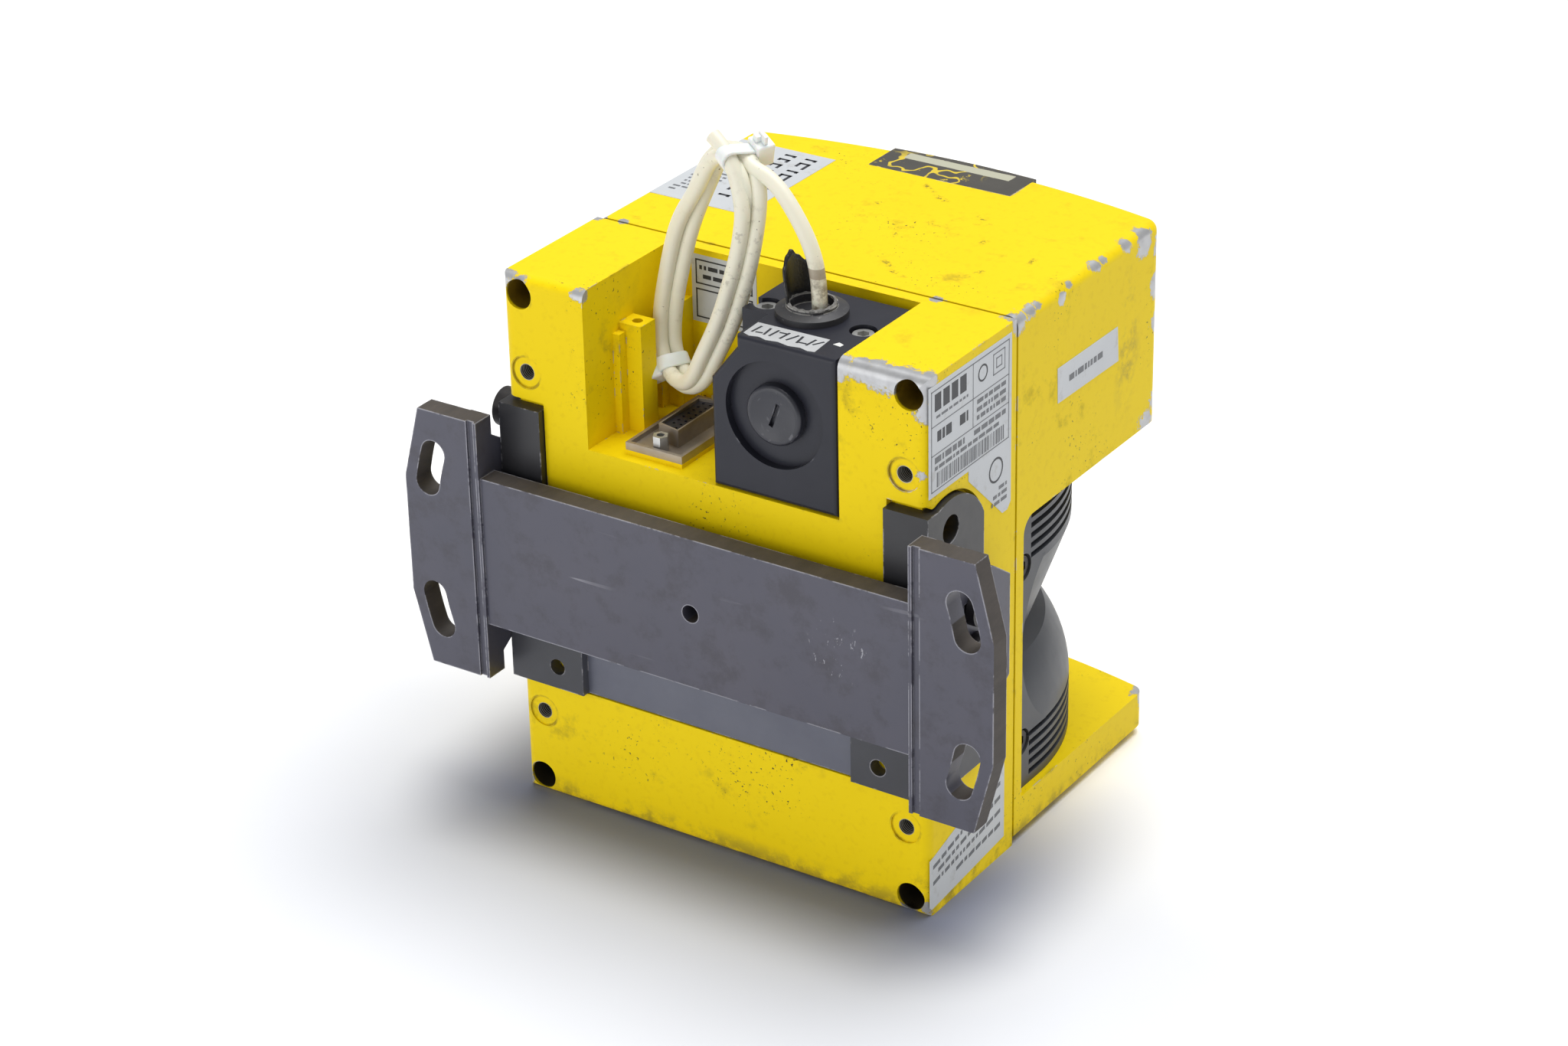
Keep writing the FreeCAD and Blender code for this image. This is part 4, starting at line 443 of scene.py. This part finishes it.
# What each solid wears; the solids that pieces of this script replace are left out
dress(yellow_paint(), "rear_housing", "front_housing")
dress(bracket_steel(), "wall_bracket")
dress(yoke_steel(), "yoke")
dress(satin("black_screws", (0.02, 0.02, 0.024), (0.06, 0.055, 0.055), 0.45, 300, 0.6, wear=(0.4, 0.4, 0.42)),
      "housing_screws", "cover_screws", "lock_screws", "pivot_screws", "yoke_screw")
dress(satin("window_plastic", (0.042, 0.046, 0.055), (0.066, 0.071, 0.082), 0.42, 25, relief=0.05),
      "optics_cover")
dress(satin("black_plastic", (0.013, 0.014, 0.021), (0.026, 0.027, 0.038), 0.36, 50, relief=0.04,
            Specular_IOR_Level=0.3, wear=(0.16, 0.16, 0.18)),
      "plug_box", "connector_insert")
dress(gland_plastic(), "gland_ring")
dress(button_plastic(), "blank_plug")
dress(satin("seal_rubber", (0.015, 0.015, 0.015), (0.03, 0.03, 0.03), 0.7, 100),
      "housing_gasket", "cover_seal")
dress(panel_face(), "display_panel")
dress(satin("display_glass", (0.46, 0.46, 0.34), (0.55, 0.54, 0.42), 0.22, 20), "display_glass")
dress(satin("bare_metal", (0.22, 0.18, 0.14), (0.50, 0.45, 0.39), 0.45, 90, 0.8),
      "connector_tray", "connector_shell")
dress(satin("zinc_screws", (0.40, 0.40, 0.39), (0.66, 0.66, 0.64), 0.35, 200, 0.9),
      "connector_screws", "plug_screws")
dress(satin("inner_aluminium", (0.5, 0.5, 0.52), (0.62, 0.62, 0.64), 0.35, 60, 0.95),
      "scan_motor", "lens_barrel", "mirror_head", "board_standoffs", "interface_standoffs", "code_reader")
dress(satin("inner_steel", (0.4, 0.4, 0.42), (0.55, 0.55, 0.57), 0.28, 80, 1.0),
      "motor_bearings", "rotor_shaft", "encoder_disc", "laser_module", "laser_post")
dress(satin("mirror", (0.88, 0.88, 0.9), (0.92, 0.92, 0.94), 0.09, 20, 1.0, relief=0.0), "mirror_glass")
dress(satin("lens_glass", (0.6, 0.68, 0.68), (0.66, 0.74, 0.73), 0.1, 20, relief=0.0), "receiver_lens")
dress(satin("board_green", (0.01, 0.13, 0.045), (0.02, 0.19, 0.07), 0.4, 80),
      "main_board", "power_board", "interface_board", "detector_board")
dress(satin("chip_black", (0.015, 0.015, 0.015), (0.03, 0.03, 0.03), 0.5, 200),
      "processor_chips", "output_relays", "power_capacitors", "detector_chip")


# Lead: out of the gland, up to the ties, round the coil and out to its bare end
CORD_RADIUS = 2.5
LEAD = [(-24.2, 45.8, 185), (-24.2, 45.8, 195.5), (-20.9, 45, 206), (-13.5, 44, 216.5), (-5.6, 42.4, 223.2)]
TAIL = [(2.6, 47.9, 220.0), (5.6, 46.6, 226.2), (9.6, 45.2, 230.8), (14.6, 43.9, 233.6)]

# The coil's oval: its middle, its lean and turn, half its width, half its height and the radius of its ends
COIL_MIDDLE = Vector((19.7, 41.8, 187.9))
COIL_LEAN = math.radians(17.5)
COIL_TURN = math.radians(-24)
COIL_WIDE = 12.6
COIL_TALL = 39.3
COIL_END = 9.4
COIL_START = 98
PER_TURN = 32

# Directions along the oval's long axis and its short axis, and across its plane
LONG = Vector((-math.sin(COIL_LEAN), 0, math.cos(COIL_LEAN)))
FLAT = Vector((math.cos(COIL_LEAN), 0, math.sin(COIL_LEAN)))
SHORT = FLAT * math.cos(COIL_TURN) + Vector((0, 1, 0)) * math.sin(COIL_TURN)
ACROSS = LONG.cross(SHORT)
# Each turn's place in the bundle at every eighth of the way round: outward and towards the rear, in mm
TURNS = [[(3, -1.5), (4, 0), (6, -1), (5, -2), (4, 0), (3, -1.6), (4.4, -2), (5, -1.9), (3.4, -2.6)],
         [(3.4, -2.6), (2.4, -2.7), (2.2, -1.7), (1.6, -1.5), (2, -3.0), (0.4, -2.3), (0.6, -2.6),
          (1, -1.6), (1.6, 2.0)],
         [(1.6, 2.0), (1, 2.3), (4, 2.8), (3.4, 2.6), (2.4, 1.7), (1, 2.3), (2, 2), (3, 2.1), (3.6, 3.5)]]


def coil_spot(angle, outward=0.0, sideways=0.0):
    """A point round the coil's oval of four arcs, moved out from its line and across its plane."""
    flat = (COIL_WIDE ** 2 - COIL_END ** 2 + (COIL_TALL - COIL_END) ** 2) / (2 * (COIL_WIDE - COIL_END))
    lean = math.asin((COIL_TALL - COIL_END) / (flat - COIL_END))
    quarter = flat * lean + COIL_END * (math.pi / 2 - lean)
    share = abs((angle / (math.pi / 2) + 1) % 2 - 1) * quarter
    if share < flat * lean:
        tilt = share / flat
        short, long = flat * math.cos(tilt) - (flat - COIL_WIDE), flat * math.sin(tilt)
    else:
        tilt = lean + (share - flat * lean) / COIL_END
        short, long = COIL_END * math.cos(tilt), COIL_TALL - COIL_END + COIL_END * math.sin(tilt)
    right = 1 if math.cos(angle) >= 0 else -1
    up = 1 if math.sin(angle) >= 0 else -1
    away = SHORT * (right * math.cos(tilt)) + LONG * (up * math.sin(tilt))
    return COIL_MIDDLE + SHORT * (right * short) + LONG * (up * long) + away * outward + ACROSS * sideways


def coil_points():
    """Control points of the turns, three strands side by side that swap places over the top."""
    points = []
    for number in range(len(TURNS) * PER_TURN - 1):
        turn, step = divmod(number, PER_TURN)
        stop, share = divmod(8 * step / PER_TURN, 1)
        share = share * share * (3 - 2 * share)
        before, after = TURNS[turn][int(stop)], TURNS[turn][int(stop) + 1]
        outward = before[0] + (after[0] - before[0]) * share
        sideways = before[1] + (after[1] - before[1]) * share
        points.append(coil_spot(math.radians(COIL_START - 360 * number / PER_TURN), outward, sideways))
    return points


def cord_curve():
    """The cord as one curve, and the points of its middle line in mm."""
    data = bpy.data.curves.new("cord", "CURVE")
    data.dimensions = "3D"
    data.resolution_u = 10
    data.use_fill_caps = True
    route = [Vector(point) for point in LEAD] + coil_points() + [Vector(point) for point in TAIL]
    spline = data.splines.new("NURBS")
    spline.points.add(len(route) - 1)
    for target, point in zip(spline.points, route):
        target.co = (*(point * MM), 1)
    spline.order_u = 3
    spline.use_endpoint_u = True
    obj = bpy.data.objects.new("cord", data)
    bpy.context.scene.collection.objects.link(obj)
    line = bpy.data.meshes.new_from_object(obj)
    centre = [vertex.co / MM for vertex in line.vertices]
    bpy.data.meshes.remove(line)
    data.bevel_depth = CORD_RADIUS * MM
    data.bevel_resolution = 6
    data.materials.append(cord_jacket())
    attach(obj, "scanner")
    return obj, centre


def hull(points):
    """Convex outline of flat points, counter-clockwise."""
    points = sorted(set(points))

    def half(ordered):
        line = []
        for point in ordered:
            while len(line) > 1 and ((line[-1][0] - line[-2][0]) * (point[1] - line[-2][1])
                                     - (line[-1][1] - line[-2][1]) * (point[0] - line[-2][0])) <= 0:
                line.pop()
            line.append(point)
        return line[:-1]
    return half(points) + half(points[::-1])


def cable_tie(name, angle, head_turn, material, line, tail):
    """A band pulled tight round the strands that pass one spot, with its square head and cut end."""
    middle = coil_spot(angle)
    along = (coil_spot(angle + 0.05) - coil_spot(angle - 0.05)).normalized()
    one = along.cross(ACROSS).normalized()
    two = along.cross(one)
    rims = []
    nearby, rim, corners = 14, CORD_RADIUS + 0.05, 28
    for before, after in zip(line, line[1:]):
        a, b = (before - middle).dot(along), (after - middle).dot(along)
        if a * b <= 0 and a != b and (before - middle).length < nearby:
            spot = before.lerp(after, a / (a - b)) - middle
            for step in range(corners):
                turn = step * 2 * math.pi / corners
                rims.append((round(spot.dot(one) + rim * math.cos(turn), 4),
                             round(spot.dot(two) + rim * math.sin(turn), 4)))
    outline = hull(rims)
    centre = Vector((sum(p[0] for p in outline), sum(p[1] for p in outline))) / len(outline)
    vertices, faces = [], []
    rings = ((0.0, -2.3), (0.85, -2.2), (1.0, -1.9), (1.0, 1.9), (0.85, 2.2), (0.0, 2.3))
    for point in outline:
        flat = Vector(point)
        out = (flat - centre).normalized()
        for thick, wide in rings:
            spot = flat + out * thick
            vertices.append(middle + one * spot.x + two * spot.y + along * wide)
    count = len(rings)
    for index in range(len(outline)):
        for side in range(count):
            a, b = index * count, ((index + 1) % len(outline)) * count
            other = (side + 1) % count
            faces.append((a + side, a + other, b + other, b + side))
    band = add_mesh(name, vertices, faces, material, smooth=True)
    out = Vector((math.cos(head_turn), math.sin(head_turn)))
    reach = max((Vector(point) - centre).dot(out) for point in outline)
    seat = middle + one * (centre.x + out.x * reach) + two * (centre.y + out.y * reach)
    outward = one * out.x + two * out.y
    sideways = along.cross(outward)
    axes = (outward, sideways, along)
    parts = [rounded_block(seat + outward * 2.4, axes, (3.1, 3.9, 3.4), 0.7)]
    for shift, size in tail:
        place = seat + outward * shift[0] + sideways * shift[1] + along * shift[2]
        parts.append(rounded_block(place, axes, size, 0.2))
    vertices, faces = [], []
    for part_vertices, part_faces in parts:
        base = len(vertices)
        vertices += part_vertices
        faces += [tuple(index + base for index in face) for face in part_faces]
    add_mesh(name + "_head", vertices, faces, material)
    return band


def rounded_block(centre, axes, half, bevel):
    """Vertices and faces of a block with rounded edges along three given directions."""
    mesh = bmesh.new()
    bmesh.ops.create_cube(mesh, size=2)
    for vertex in mesh.verts:
        vertex.co = Vector((vertex.co.x * half[0], vertex.co.y * half[1], vertex.co.z * half[2]))
    bmesh.ops.bevel(mesh, geom=mesh.edges[:], offset=bevel, segments=3, profile=0.5, affect="EDGES")
    mesh.verts.index_update()
    vertices = [centre + axes[0] * v.co.x + axes[1] * v.co.y + axes[2] * v.co.z for v in mesh.verts]
    faces = [tuple(v.index for v in face.verts) for face in mesh.faces]
    mesh.free()
    return vertices, faces


cord, cord_line = cord_curve()
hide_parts("cord_lead", "cord_coil", "cord_tail")
nylon_material = nylon()
upper = cable_tie("tie_band_upper", math.radians(91), math.radians(102), nylon_material, cord_line,
                  [((2.6, 4.6, 0.4), (0.6, 2.2, 2.0)), ((1.2, 4.4, -0.8), (0.9, 1.6, 1.2))])
lower = cable_tie("tie_band_lower", math.radians(-81), math.radians(232), nylon_material, cord_line,
                  [((2.8, 4.2, 0.0), (0.5, 0.8, 1.9))])
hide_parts("tie_upper")
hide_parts("tie_lower")


# Labels: thin film with blocks, bars and lines on it, all generic
class Face:
    """A flat side of the housing that takes films: which way it looks and where it lies, in mm."""

    def __init__(self, letter, at, sign):
        self.normal = "XYZ".index(letter)
        self.at, self.sign = at, sign

    def point(self, across, up, height):
        spot = [across, up]
        spot.insert(self.normal, self.at + self.sign * height)
        return spot


def turned_out(outline, face):
    """The outline in the order that makes its face look outward."""
    area = 0
    for (x0, y0), (x1, y1) in zip(outline, outline[1:] + outline[:1]):
        area += x0 * y1 - x1 * y0
    outward = face.sign * (-1 if face.normal == 1 else 1)
    return outline if area * outward > 0 else outline[::-1]


def film(name, face, outlines, layer, material):
    """Flat shapes in one layer over a face, with their thin sides."""
    vertices, faces = [], []
    for outline in outlines:
        outline = turned_out(outline, face)
        base, count = len(vertices), len(outline)
        for height in layer:
            vertices += [face.point(across, up, height) for across, up in outline]
        faces.append(tuple(base + count + index for index in range(count)))
        for index in range(count):
            after = (index + 1) % count
            faces.append((base + index, base + after, base + count + after, base + count + index))
    return add_mesh(name, vertices, faces, material)


def block(x0, x1, y0, y1):
    return [(x0, y0), (x1, y0), (x1, y1), (x0, y1)]


def ruled_box(x0, x1, y0, y1, line=0.35):
    """The four sides of a drawn box."""
    return [block(x0, x1, y0, y0 + line), block(x0, x1, y1 - line, y1), block(x0, x0 + line, y0, y1),
            block(x1 - line, x1, y0, y1)]


def next_draw(seed):
    """The number after this one in a fixed row of mixed numbers under 1009."""
    return (seed * 73 + 41) % 1009


def text_rows(x0, x1, top, thread_shading, rows, height, seed):
    """Rows of small blocks that stand in for words, run from the right-hand end as the reader sees them."""
    marks = []
    for row in range(rows):
        low = top - thread_shading * row - height
        at = x0
        while at < x1 - 0.8:
            seed = next_draw(seed)
            run = min(0.9 + seed % 7 * 0.45, x1 - at)
            marks.append(block(at, at + run, low, low + height))
            at += run + 0.7
            if seed % 11 == 0:
                at += 4
    return marks


def bar_row(x0, x1, low, high):
    """A row of upright bars of mixed widths and gaps."""
    marks, at, seed = [], x0, 5
    while at < x1:
        seed = next_draw(seed)
        run = 0.25 + seed % 4 * 0.2
        marks.append(block(at, at + run, low, high))
        at += run + 0.3 + seed % 3 * 0.2
    return marks


def ring(x, y, outer, inner):
    """A drawn circle as short four-cornered pieces."""
    pieces = []
    for step in range(24):
        a, b = step * math.pi / 12, (step + 1) * math.pi / 12
        pieces.append([(x + outer * math.cos(a), y + outer * math.sin(a)),
                       (x + outer * math.cos(b), y + outer * math.sin(b)),
                       (x + inner * math.cos(b), y + inner * math.sin(b)),
                       (x + inner * math.cos(a), y + inner * math.sin(a))])
    return pieces


def rating_label(film_material, ink, bold):
    """The large label high on the right side, with the tongue below it."""
    side = Face("X", -SIDE, -1)
    outline = [(22.5, 182), (70.2, 182), (70.2, 146), (47.6, 146), (47.6, 142.6), (27.5, 123.3),
               (24.5, 123.3), (22.5, 125.5)]
    film("rating_film", side, [outline], FILM, film_material)
    marks = ruled_box(24, 69, 147.5, 180.5) + ruled_box(26.5, 33.5, 171.8, 178.8)
    marks += ruled_box(28.3, 31.7, 173.6, 177)
    marks += [block(24, 69, 168.7, 169), block(45, 45.3, 159.6, 180.5), block(24, 69, 159.3, 159.6)]
    marks += text_rows(48, 67, 171.8, 1.6, 1, 0.8, 17) + text_rows(26, 43, 167.6, 2.6, 3, 1.4, 11)
    marks += text_rows(50, 67, 158.4, 3.2, 1, 2.0, 29) + text_rows(26, 46, 158.2, 2.6, 1, 1.6, 37)
    marks += text_rows(30, 67, 155.4, 2, 1, 1.2, 9) + bar_row(27, 66, 148.4, 153.2)
    marks += text_rows(25, 34, 133.4, 2.3, 3, 1.2, 5)
    heavy = [block(x, x + 3.6, 173.4, 179) for x in (49, 53.8, 58.6, 63.4)]
    heavy += text_rows(48, 67, 166.6, 3, 1, 3.4, 5)
    heavy += ring(39.5, 175.3, 2.8, 2.2) + ring(31.5, 139.6, 4.2, 3.5)
    film("rating_heavy", side, heavy, INK, bold)
    film("rating_ink", side, marks, INK, ink)


def lower_label(film_material, ink):
    """The slanted label low on the right side; its rows fall towards the rear."""
    side = Face("X", -SIDE, -1)
    film("lower_film", side, [[(25, 33.5), (70, 20.5), (70, 3.5), (69, 2.5), (25, 6.5)]], FILM, film_material)
    marks = []
    start, slope, height = 27.5, 0.28, 1.4
    for row in range(4):
        low = 26.8 - row * 5.0
        at, seed = start, 11 + row * 13
        while at < 66 and low - slope * (at - start) > 5:
            seed = next_draw(seed)
            run = 1.1 + seed % 6 * 0.6
            near = low - slope * (at - start) * (0.9 - row * 0.2)
            far = near - 0.2 * run
            marks.append([(at, near), (at + run, far), (at + run, far + height), (at, near + height)])
            at += run + 0.9
    film("lower_ink", side, marks, INK, ink)


def hood_labels(film_material, ink, bold):
    """The strip on the hood's right side and the label on its top."""
    side, top = Face("X", -SIDE, -1), Face("Z", TOP, 1)
    outline = [(-44.5, 146), (-6, 146.6), (-5.6, 158.6), (-43.6, 158.2)]
    film("hood_side_film", side, [outline], FILM, film_material)
    film("hood_side_ink", side, text_rows(-34, -12, 153.6, 2.5, 1, 2.1, 21), INK, ink)
    film("hood_top_film", top, [block(38, 75, -60, -6)], FILM, film_material)
    marks = []
    for column, seed in ((42.5, 3), (50.5, 8)):
        at = -56
        while at < -14:
            seed = next_draw(seed)
            run = 1.6 + seed % 5 * 0.9
            marks += [block(column, column + 4.4, at, at + 1.1), block(column, column + 1.1, at, at + run),
                      block(column + 3.3, column + 4.4, at, at + run * 0.7)]
            at += run + 2.2
    film("hood_top_ink", top, marks, INK, bold)
    film("hood_top_rows", top, text_rows(60, 72, -12, 2.6, 16, 1.0, 5), INK, ink)


def recess_label(film_material, bold):
    """The label on the wall behind the coil."""
    wall = Face("Y", RECESS_WALL, 1)
    film("recess_film", wall, [block(13.5, 38, 160, 183)], FILM, film_material)
    marks = ruled_box(15, 36.5, 173, 181.5, 0.5) + ruled_box(15, 36.5, 161.5, 171.5, 0.5)
    film("recess_ink", wall, marks + text_rows(17, 35, 179.5, 3, 2, 1.4, 7), INK, bold)


def plug_papers(bold):
    """The torn strip of paper on the plug, with pen strokes on it, and a scrap beside it."""
    lid = Face("Z", PLUG_TOP, 1)
    strip = [(-11, 59.7), (-11.4, 68.2), (-14, 69.2), (-17, 68.4), (-20, 69.3), (-24, 68.6), (-28, 69.4),
             (-32, 68.7), (-35, 69.5), (-37.3, 69.0), (-36.5, 59.3)]
    paper = satin("paper", (0.40, 0.41, 0.42), (0.56, 0.57, 0.58), 0.6, 130, relief=0.05)
    bright = satin("scrap", (0.62, 0.63, 0.62), (0.80, 0.80, 0.78), 0.6, 130, relief=0.05)
    film("paper_strip", lid, [strip], PAPER, paper)
    strokes = ((-13.4, 64, 5, 84), (-15.4, 65.8, 2.4, 8), (-17.2, 64, 5, 96), (-19.6, 64, 5, 84),
               (-22, 62.6, 2.6, 4), (-23.4, 64, 5, 84), (-26.2, 64, 5, 70), (-28.8, 64, 5, 98),
               (-30.8, 65.6, 2.6, 6), (-32.8, 64, 5, 84), (-35, 63.4, 4, 60))
    pen = []
    for x, y, length, turn in strokes:
        lean = math.radians(turn)
        reach = Vector((math.cos(lean), math.sin(lean))) * length / 2
        thick = Vector((-math.sin(lean), math.cos(lean))) * 0.4
        middle = Vector((x, y))
        corners = (-reach - thick, reach - thick, reach + thick, thick - reach)
        pen.append([tuple(middle + corner) for corner in corners])
    film("pen_marks", lid, pen, PEN, bold)
    film("paper_scrap", lid, [[(-39, 61.6), (-41.8, 62), (-42, 60.4), (-40, 59.6)]], PAPER, bright)


def labels():
    film_material = label_film()
    ink = satin("label_ink", (0.10, 0.105, 0.115), (0.20, 0.21, 0.225), 0.5, 300, relief=0.0)
    bold = satin("bold_ink", (0.012, 0.014, 0.02), (0.03, 0.033, 0.042), 0.45, 300, relief=0.0)
    rating_label(film_material, ink, bold)
    lower_label(film_material, ink)
    hood_labels(film_material, ink, bold)
    recess_label(film_material, bold)
    plug_papers(bold)


def broken_rim():
    """Torn teeth of the gland's neck, standing round the lead."""
    vertices, faces = [], []
    count = 44
    for step in range(count):
        turn = step * 2 * math.pi / count
        rough = noise.noise(Vector((math.cos(turn) * 2.3, math.sin(turn) * 2.3, 4.0)))
        tooth = 0.1 + 1.0 * abs(rough) + (0.3 if step % 3 == 0 else 0.0)
        section = ((6.75, -0.3), (7.9 + rough * 0.5, -0.3), (7.3 + rough * 0.4, tooth), (6.8, tooth * 0.8))
        for radius, height in section:
            vertices.append((GLAND[0] + radius * math.cos(turn), GLAND[1] + radius * math.sin(turn),
                             GLAND[2] + height))
    for step in range(count):
        a, b = step * 4, (step + 1) % count * 4
        for side in range(4):
            other = (side + 1) % 4
            faces.append((a + side, b + side, b + other, a + other))
    torn = satin("torn_edge", (0.03, 0.03, 0.03), (0.34, 0.33, 0.31), 0.4, 520, relief=0.2)
    add_mesh("gland_rim", vertices, faces, torn)


def torn_flap():
    """Lobed black flap left standing behind the lead where the gland's dome broke away."""
    vertices, faces = [], []
    across, up, base_shade = 22, 9, 187.6
    for shell in (0.0, 0.9):
        for column in range(across):
            share = column / (across - 1)
            turn = math.radians(-48 + 112 * share)
            lobes = 1 + 0.05 * math.sin(share * 15) + 0.03 * math.sin(share * 37)
            height = 14.0 * math.sin(math.pi * (0.04 + 0.86 * share)) ** 0.7 * lobes
            for row in range(up):
                rise = height * row / (up - 1)
                radius = 6.9 + shell + rise * 0.10
                vertices.append((GLAND[0] + radius * math.cos(turn), GLAND[1] - radius * math.sin(turn),
                                 base_shade + rise))
    half = across * up
    for column in range(across - 1):
        for row in range(up - 1):
            a = column * up + row
            faces.append((a, a + up, a + up + 1, a + 1))
            faces.append((half + a, half + a + 1, half + a + up + 1, half + a + up))
    border = [column * up for column in range(across)]
    border += [(across - 1) * up + row for row in range(1, up)]
    border += [column * up + up - 1 for column in reversed(range(across - 1))]
    border += reversed(range(1, up - 1))
    for a, b in zip(border, border[1:] + border[:1]):
        faces.append((a, a + half, b + half, b))
    black = satin("torn_plastic", (0.006, 0.006, 0.007), (0.020, 0.020, 0.022), 0.22, 240, relief=0.25)
    flap = add_mesh("gland_flap", vertices, faces, black, smooth=True)
    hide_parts("gland_shard")


labels()
broken_rim()
torn_flap()


# Studio: pale floor, soft light and the photograph's camera
def studio():
    """The floor, with a painted shadow that is darker and bluish near the foot and left out in front, and an
    even white world.
    """
    floor = bpy.data.meshes.new("floor")
    floor.from_pydata([(-4, -4, 0), (4, -4, 0), (4, 4, 0), (-4, 4, 0)], [], [(0, 1, 2, 3)])
    obj = bpy.data.objects.new("floor", floor)
    bpy.context.scene.collection.objects.link(obj)
    s = Shader("floor")
    sideways = s.math("MAXIMUM", s.math("SUBTRACT", s.math("ABSOLUTE", s.axis("X")), SIDE * MM), 0.0)
    lengthways = s.math("MAXIMUM", s.math("SUBTRACT", s.math("ABSOLUTE", s.axis("Y")), REAR * MM), 0.0)
    away = s.math("SQRT", s.math("ADD", s.math("POWER", sideways, 2.0), s.math("POWER", lengthways, 2.0)))
    # Painted shadow: the floor is darkened and turned bluish near the foot, fades out further away, and is
    # left out towards the front.
    floor_shadow = s.mix(s.span(away, 0.0, 0.05), (0.225, 0.24, 0.305), (0.72, 0.735, 0.775))
    floor_shadow = s.mix(s.span(away, 0.04, 0.27), floor_shadow, (0.975, 0.985, 1.0))
    floor_shadow = s.mix(s.span(s.axis("Y"), 0.05, -0.05), floor_shadow, (0.98, 0.98, 0.98))
    path = s.nodes.new("ShaderNodeLightPath")
    seen = s.any(*[path.outputs["Is %s Ray" % kind] for kind in ("Camera", "Glossy", "Transmission")])
    floor.materials.append(s.finish(s.mix(seen, (0.78, 0.78, 0.80), floor_shadow), 1.0, Specular_IOR_Level=0.0))
    world = bpy.data.worlds.new("studio")
    bpy.context.scene.world = world
    world.use_nodes = True
    tree = world.node_tree
    background = tree.nodes["Background"]
    path = tree.nodes.new("ShaderNodeLightPath")
    either = tree.nodes.new("ShaderNodeMath")
    either.operation = "MAXIMUM"
    tree.links.new(path.outputs["Is Camera Ray"], either.inputs[0])
    tree.links.new(path.outputs["Is Transmission Ray"], either.inputs[1])
    level = tree.nodes.new("ShaderNodeMapRange")
    level.inputs["To Min"].default_value = 0.395
    level.inputs["To Max"].default_value = 1.0
    tree.links.new(either.outputs[0], level.inputs["Value"])
    tree.links.new(level.outputs[0], background.inputs["Strength"])
    background.inputs["Color"].default_value = (1, 1, 1, 1)


def lamp(name, place, aim, width, watts):
    """A square lamp at a place, looking at another; all in metres."""
    data = bpy.data.lights.new(name, "AREA")
    data.size = width
    data.energy = watts
    obj = bpy.data.objects.new(name, data)
    bpy.context.scene.collection.objects.link(obj)
    obj.location = place
    obj.rotation_euler = (Vector(aim) - Vector(place)).to_track_quat("-Z", "Y").to_euler()


def sun(towards, spread, strength):
    """Broad even light from one direction, for a soft shadow under the object."""
    data = bpy.data.lights.new("overhead", "SUN")
    data.energy = strength
    data.angle = math.radians(spread)
    obj = bpy.data.objects.new("overhead", data)
    bpy.context.scene.collection.objects.link(obj)
    obj.rotation_euler = (-Vector(towards)).to_track_quat("-Z", "Y").to_euler()


def camera():
    """The photograph's camera, solved from the housing's corners: heading from +Y to +X, lift and roll."""
    place, angles, focal_length = Vector((-0.6188, 0.9535, 0.6687)), (146.13, -27.08, -1.18), 90.28
    data = bpy.data.cameras.new("camera")
    data.sensor_width = 36
    data.lens = focal_length
    obj = bpy.data.objects.new("camera", data)
    bpy.context.scene.collection.objects.link(obj)
    heading, lift, roll = (math.radians(angle) for angle in angles)
    ahead = Vector((math.cos(lift) * math.sin(heading), math.cos(lift) * math.cos(heading), math.sin(lift)))
    right = ahead.cross(Vector((0, 0, 1))).normalized()
    up = right.cross(ahead)
    level = right * math.cos(roll) + up * math.sin(roll)
    above = -right * math.sin(roll) + up * math.cos(roll)
    turn = Matrix((level, above, -ahead)).transposed()
    obj.matrix_world = Matrix.Translation(place) @ turn.to_4x4()
    bpy.context.scene.camera = obj


studio()
sun((-0.05, -0.28, 1.0), 46, 2.85)
lamp("rear", (0.5, 1.75, 0.42), (0, 0, 0.06), 1.5, 13.5)
camera()
bpy.context.scene.view_settings.view_transform = "Standard"
